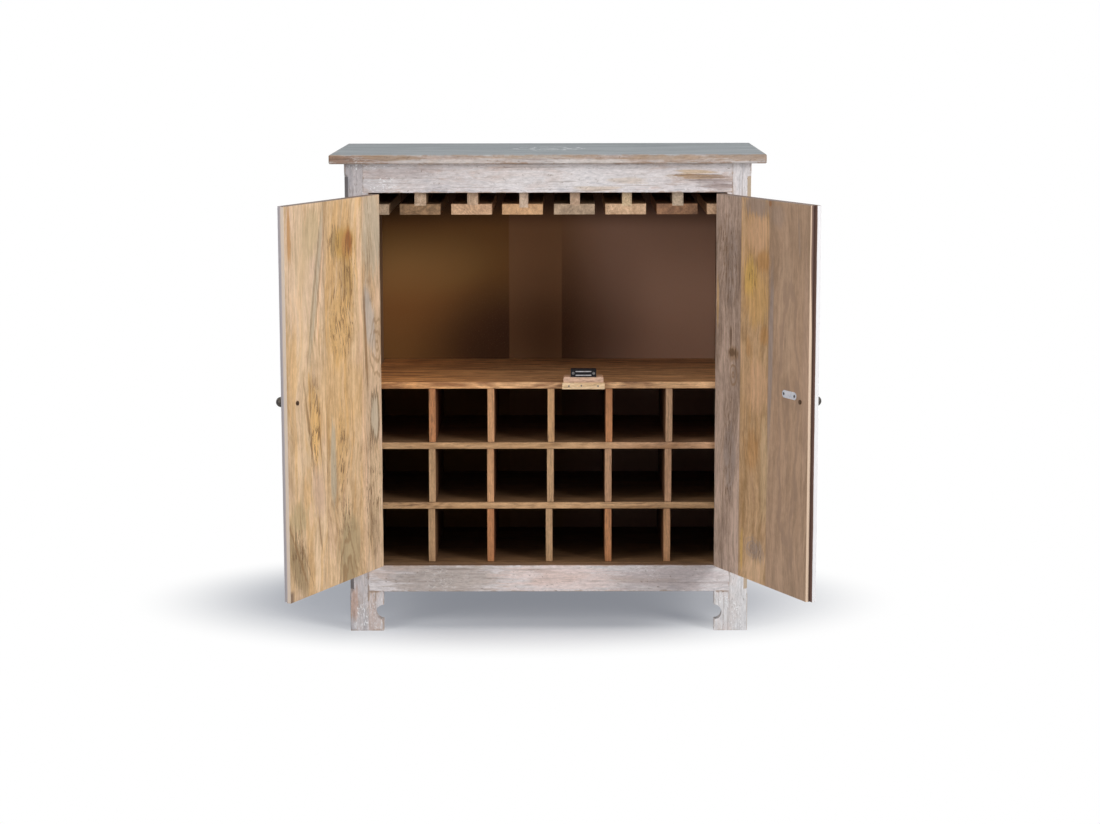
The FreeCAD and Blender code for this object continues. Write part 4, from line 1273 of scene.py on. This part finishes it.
def smooth_profile(corners, steps):
    """Points (distance, radius) between corners; the radius eases from one to the next by half a cosine."""
    share = np.arange(steps) / steps
    eased = (1 - np.cos(math.pi * share)) / 2
    first, second = np.array(corners[:-1]), np.array(corners[1:])
    distance = first[:, None, 0] + (second - first)[:, None, 0] * share
    radius = first[:, None, 1] + (second - first)[:, None, 1] * eased
    return np.append(np.stack([distance, radius], axis=-1).reshape(-1, 2), [corners[-1]], axis=0)


def turned_knob(side):
    """Surface of revolution about the bolt: the profile below the head, then a sphere cut at the neck.

    The sphere's front is flattened by FLAT_DEPTH times the square of the share of FLAT_RUN past FLAT_START.
    """
    centre = BOLTS[side]
    polar = np.linspace(math.acos((KNOB_CORNERS[-1][0] - HEAD_MIDDLE) / HEAD_RADIUS), POLE_ANGLE, HEAD_STEPS)
    head = np.stack([HEAD_MIDDLE + HEAD_RADIUS * np.cos(polar), HEAD_RADIUS * np.sin(polar)], axis=1)
    head[:, 0] -= FLAT_DEPTH * np.clip((head[:, 0] - FLAT_START) / FLAT_RUN, 0, 1) ** 2
    profile = np.concatenate([smooth_profile(KNOB_CORNERS, CORNER_STEPS), head])
    angle = np.linspace(0, 2 * math.pi, AROUND, endpoint=False)
    distance, radius = profile[:, :1], profile[:, 1:]
    across = centre[0] + radius * np.cos(angle)
    up = centre[2] + radius * np.sin(angle)
    points = from_door(DOOR_JOINTS[side], np.stack([across, DOOR_FRONT - distance + 0 * angle, up], axis=-1))
    return points.reshape(-1, 3), tube_faces(len(profile), AROUND)


for side, body in DOOR_BODIES.items():
    points, faces = turned_knob(side)
    knob = mesh_piece("turned_knob_" + side, points, faces, "knob_iron", body)
    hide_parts("knob_" + side)
    print(knob.name, "points:", len(points))

# %% [markdown]
# ## Screw and nail heads
# A slotted screw head is a shallow dome with a groove across it. As a surface over radius and angle, its
# height is the dome's, less the groove's depth wherever the point lies within half a groove's width of the
# slot line. One grid is worked out and then copied to every place by array addition.

# %% Heads
HEAD_RINGS, HEAD_AROUND, HEAD_HOLE = 10, 36, 0.02
DOME_BASE, GROOVE_SIDE, LEAST_SIDE, SKIRT = 0.55, 0.2, 1e-6, 0.0002
FIRST_SPIN, NEXT_SPIN = 0.7, 1.9


def head_grid(radius, height, slot_width, slot_depth):
    """Heights over a polar grid: height * sqrt(1 - r^2 / R^2) softened, with a skirt below, less the slot."""
    share = np.concatenate([np.linspace(HEAD_HOLE, 1.0, HEAD_RINGS), [1.0]])
    angle = np.linspace(0, 2 * math.pi, HEAD_AROUND, endpoint=False)
    flat_x = radius * share[:, None] * np.cos(angle)
    flat_y = radius * share[:, None] * np.sin(angle)
    dome = DOME_BASE + (1.0 - DOME_BASE) * np.sqrt(np.clip(1 - share**2, 0, 1))
    groove = np.clip((slot_width / 2 - np.abs(flat_y)) / max(slot_width * GROOVE_SIDE, LEAST_SIDE), 0, 1)
    rise = height * dome[:, None] - slot_depth * groove
    rise[-1] = -SKIRT
    return np.stack([flat_x, flat_y, rise], axis=-1).reshape(-1, 3)


def frame_of(normal, spin):
    """Three unit vectors as rows: two in the head's plane, turned by spin, and its normal."""
    normal = np.asarray(normal, float) / np.linalg.norm(normal)
    first = np.cross(normal, (0.0, 0.0, 1.0) if abs(normal[2]) < 0.9 else (1.0, 0.0, 0.0))
    first /= np.linalg.norm(first)
    second = np.cross(normal, first)
    cosine, sine = math.cos(spin), math.sin(spin)
    return np.stack([cosine * first + sine * second, cosine * second - sine * first, normal])


def heads_piece(name, places, normal, size, slot, body):
    """One piece with a head at every place; spins differ so that the slots don't line up."""
    frames = np.stack([frame_of(normal, FIRST_SPIN + NEXT_SPIN * index) for index in range(len(places))])
    points = np.asarray(places)[:, None, :] + np.einsum("pk,hkj->hpj", head_grid(*size), frames)
    faces = tube_faces(HEAD_RINGS + 1, HEAD_AROUND, len(places))
    return mesh_piece(name, points.reshape(-1, 3), faces, slot, body)


NAIL_SIZE, NAILS_ACROSS, NAILS_UP = (0.0017, 0.00035, 0.0, 0.0), (0.16, 0.45, 0.84), (0.50, 0.54, 0.50)
strip_low, strip_high = (np.array(corner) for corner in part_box("catch_strip"))
nail_shares = np.stack([NAILS_ACROSS, np.zeros(len(NAILS_ACROSS)), NAILS_UP], axis=1)
nail_places = strip_low + (strip_high - strip_low) * nail_shares
FORWARD = (0, -1, 0)
heads_piece("strip_nails", nail_places, FORWARD, NAIL_SIZE, "dark_screw", "carcass")
print("nails in the strip:", len(nail_places))

# %% [markdown]
# ## Hinge and catch screws
# Each butt hinge is held by three countersunk screws in each leaf, set in a shallow zigzag. The frame's
# leaf and the door's leaf face each other across the gap when the door is shut. The catch and the strike
# plate have two screws each, and those heads take the place of the plain discs of the solids.

# %% Screws
HINGE_SCREW_SIZE, CATCH_SCREW_SIZE = (0.0031, 0.0004, 0.0009, 0.0004), (0.0030, 0.0008, 0.0010, 0.0005)
SCREW_SHARES = np.array([0.16, 0.5, 0.84])
ZIGZAG = np.tile(DOOR_FRONT + np.array([0.0095, 0.0130, 0.0095]), 2)
LEAF_FACE = 0.001


def pair(values):
    """Lowest and highest value of the two clusters on either side of the widest gap."""
    values = np.sort(values)
    gap = int(np.argmax(np.diff(values)))
    return (values[0], values[gap]), (values[gap + 1], values[-1])


for side, joint in DOOR_JOINTS.items():
    way = door_turn(joint)[1]
    spans = pair(node_points("frame_leaves_" + side)[:, 2])
    heights = np.concatenate([low + (high - low) * SCREW_SHARES for low, high in spans])
    pin_x, pin_y = joint["pos_m"][0], joint["pos_m"][1]
    on_frame = np.stack([np.full(len(heights), pin_x - way * LEAF_FACE), pin_y + ZIGZAG, heights], axis=1)
    on_door = from_door(joint, np.stack([np.full(len(heights), LEAF_FACE), ZIGZAG, heights], axis=1))
    edge_normal = on_door[0] - from_door(joint, (LEAF_FACE + 1.0, ZIGZAG[0], heights[0]))
    on_frame_name, on_door_name = "frame_leaf_screws_" + side, "door_leaf_screws_" + side
    heads_piece(on_frame_name, on_frame, (way, 0, 0), HINGE_SCREW_SIZE, "hinge_steel", "carcass")
    heads_piece(on_door_name, on_door, edge_normal, HINGE_SCREW_SIZE, "hinge_steel", DOOR_BODIES[side])

low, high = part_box("catch_screws")
spans = pair(node_points("catch_screws")[:, 0])
places = np.array([((first + last) / 2, high[1], (low[2] + high[2]) / 2) for first, last in spans])
catch_heads = heads_piece("catch_heads", places, FORWARD, CATCH_SCREW_SIZE, "dark_screw", "carcass")
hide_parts("catch_screws")

joint = DOOR_JOINTS["r"]
local = to_door(joint, node_points("strike_screws"))
back, middle = local[:, 1].min(), local[:, 2].mean()
places = from_door(joint, [((first + last) / 2, back, middle) for first, last in pair(local[:, 0])])
normal = from_door(joint, (0.0, 1.0, 0.0)) - from_door(joint, (0.0, 0.0, 0.0))
strike_heads = heads_piece("strike_heads", places, normal, CATCH_SCREW_SIZE, "dark_screw", "right_door")
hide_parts("strike_screws")

# %% [markdown]
# ## Studio
# A pale floor that fades into a white surround keeps the cabinet's soft shadow. Only rays from the camera,
# and reflections, see the floor and the surround as white; the light that falls on the cabinet stays at a
# plain level.

# %% Floor
FLOOR_RADIUS, FLOOR_POINTS = 6.0, 96
FLOOR_WHITE, FLOOR_SEEN, FLOOR_GLOW = (0.80, 0.81, 0.82), (0.50, 0.50, 0.50), (0.215, 0.23, 0.26)
GLOW = (1.0, 1.0, 1.0)
SHADE_CENTRE, SHADE_HALF, SHADE_FADE = (-0.08, 0.25, 0.0), (0.87, 0.54, 1.0), (0.5, 1.0)
angles = np.linspace(0, 2 * math.pi, FLOOR_POINTS, endpoint=False)
rim = np.stack([FLOOR_RADIUS * np.cos(angles), FLOOR_RADIUS * np.sin(angles), np.zeros_like(angles)], axis=1)
floor_mesh = bpy.data.meshes.new("floor")
floor_mesh.from_pydata(rim.tolist(), [], [list(range(len(rim)))])
floor = bpy.data.objects.new("floor", floor_mesh)
bpy.context.scene.collection.objects.link(floor)


def seen_rays(graph):
    """1 for rays from the camera, from a reflection or through glass, 0 for light on its way to a surface."""
    rays = graph.add("ShaderNodeLightPath").outputs
    either = graph.math("MAXIMUM", rays["Is Camera Ray"], rays["Is Glossy Ray"])
    return graph.math("MAXIMUM", either, rays["Is Transmission Ray"])


material = bpy.data.materials.new("studio_floor")
material.use_nodes = True
material.node_tree.nodes.clear()
graph = Graph(material.node_tree)
offset = graph.vector("SUBTRACT", graph.place(), SHADE_CENTRE)
far = graph.vector("LENGTH", graph.vector("DIVIDE", offset, SHADE_HALF))
seen = seen_rays(graph)
floor_colour = graph.mix(seen, FLOOR_WHITE, FLOOR_SEEN)
lit = graph.add("ShaderNodeAddShader")
graph.feed(lit.inputs[0], graph.add("ShaderNodeBsdfDiffuse", {"Color": floor_colour}).outputs[0])
graph.feed(lit.inputs[1], graph.add("ShaderNodeEmission", {"Color": FLOOR_GLOW, "Strength": seen}).outputs[0])
white = graph.add("ShaderNodeEmission", {"Color": GLOW, "Strength": 1.0})
blend = graph.add("ShaderNodeMixShader", {"Fac": graph.times(graph.step(far, *SHADE_FADE), seen)})
graph.feed(blend.inputs[1], lit.outputs[0])
graph.feed(blend.inputs[2], white.outputs[0])
graph.feed(graph.add("ShaderNodeOutputMaterial").inputs["Surface"], blend.outputs[0])
floor_mesh.materials.append(material)
print("floor radius:", FLOOR_RADIUS)

# %% [markdown]
# ## Light
# Two soft lamps stand in front, one on each side, and the right one is stronger: the left door's inner
# face looks towards it and is bright, while the right door's face gets the weaker lamp. Light from both
# sides reaches only the outer parts of the back, which leaves the middle of the cupboard dim, and painted
# shade on the back board darkens it further. A weak lamp above shows the top.

# %% World and lamps
AMBIENT, AMBIENT_BLUE = 0.12, (0.84, 0.93, 1.10)
LAMPS = {
    "key_right": ((3.3, -2.9, 1.8), (0.0, 0.0, 0.5), 1.7, 140.0),
    "fill_left": ((-3.2, -2.95, 1.75), (0.0, 0.0, 0.5), 1.7, 65.0),
    "over_top": ((0.0, -0.9, 3.4), (0.0, 0.0, 1.0), 1.8, 32.0),
}
world = bpy.data.worlds.new("white_room")
bpy.context.scene.world = world
world.use_nodes = True
world.node_tree.nodes.clear()
graph = Graph(world.node_tree)
seen = seen_rays(graph)
strength = graph.math("MULTIPLY_ADD", seen, 1.0 - AMBIENT, AMBIENT)
sky = graph.add("ShaderNodeBackground", {"Color": graph.mix(seen, AMBIENT_BLUE, GLOW), "Strength": strength})
graph.feed(graph.add("ShaderNodeOutputWorld").inputs["Surface"], sky.outputs[0])
for name, (place, target, size, power) in LAMPS.items():
    light = bpy.data.lights.new(name, "AREA")
    light.shape = "SQUARE"
    light.size = size
    light.energy = power
    lamp = bpy.data.objects.new(name, light)
    lamp.location = place
    lamp.rotation_euler = (Vector(target) - Vector(place)).to_track_quat("-Z", "Y").to_euler()
    bpy.context.scene.collection.objects.link(lamp)
print("lamps:", list(LAMPS))

# %% [markdown]
# ## Camera
# The camera stands where the photograph's vanishing lines put it: a little above the top and five metres
# away, with a long lens. The place, tilt and focal length were fitted to the corners of the cabinet.

# %% Camera
PHOTO_WIDTH, SENSOR_WIDTH = 1100.0, 36.0
CAMERA_PLACE = (0.0278, -5.1207, 1.2845)
CAMERA_PITCH, CAMERA_YAW, CAMERA_ROLL = 8.778, -0.301, -0.132
FOCAL_PIXELS, CENTRE_RISE = 2451.6, 14.2
camera_data = bpy.data.cameras.new("photo_camera")
camera_data.sensor_width = SENSOR_WIDTH
camera_data.lens = FOCAL_PIXELS / PHOTO_WIDTH * SENSOR_WIDTH
camera_data.shift_y = -CENTRE_RISE / PHOTO_WIDTH
camera = bpy.data.objects.new("photo_camera", camera_data)
turned = Matrix.Translation(CAMERA_PLACE)
for degrees, axis in ((-CAMERA_YAW, "Z"), (90 - CAMERA_PITCH, "X"), (CAMERA_ROLL, "Z")):
    turned = turned @ Matrix.Rotation(math.radians(degrees), 4, axis)
camera.matrix_world = turned
bpy.context.scene.collection.objects.link(camera)
bpy.context.scene.camera = camera
bpy.context.scene.view_settings.view_transform = "Standard"
print("camera lens:", round(camera_data.lens, 2), "mm")
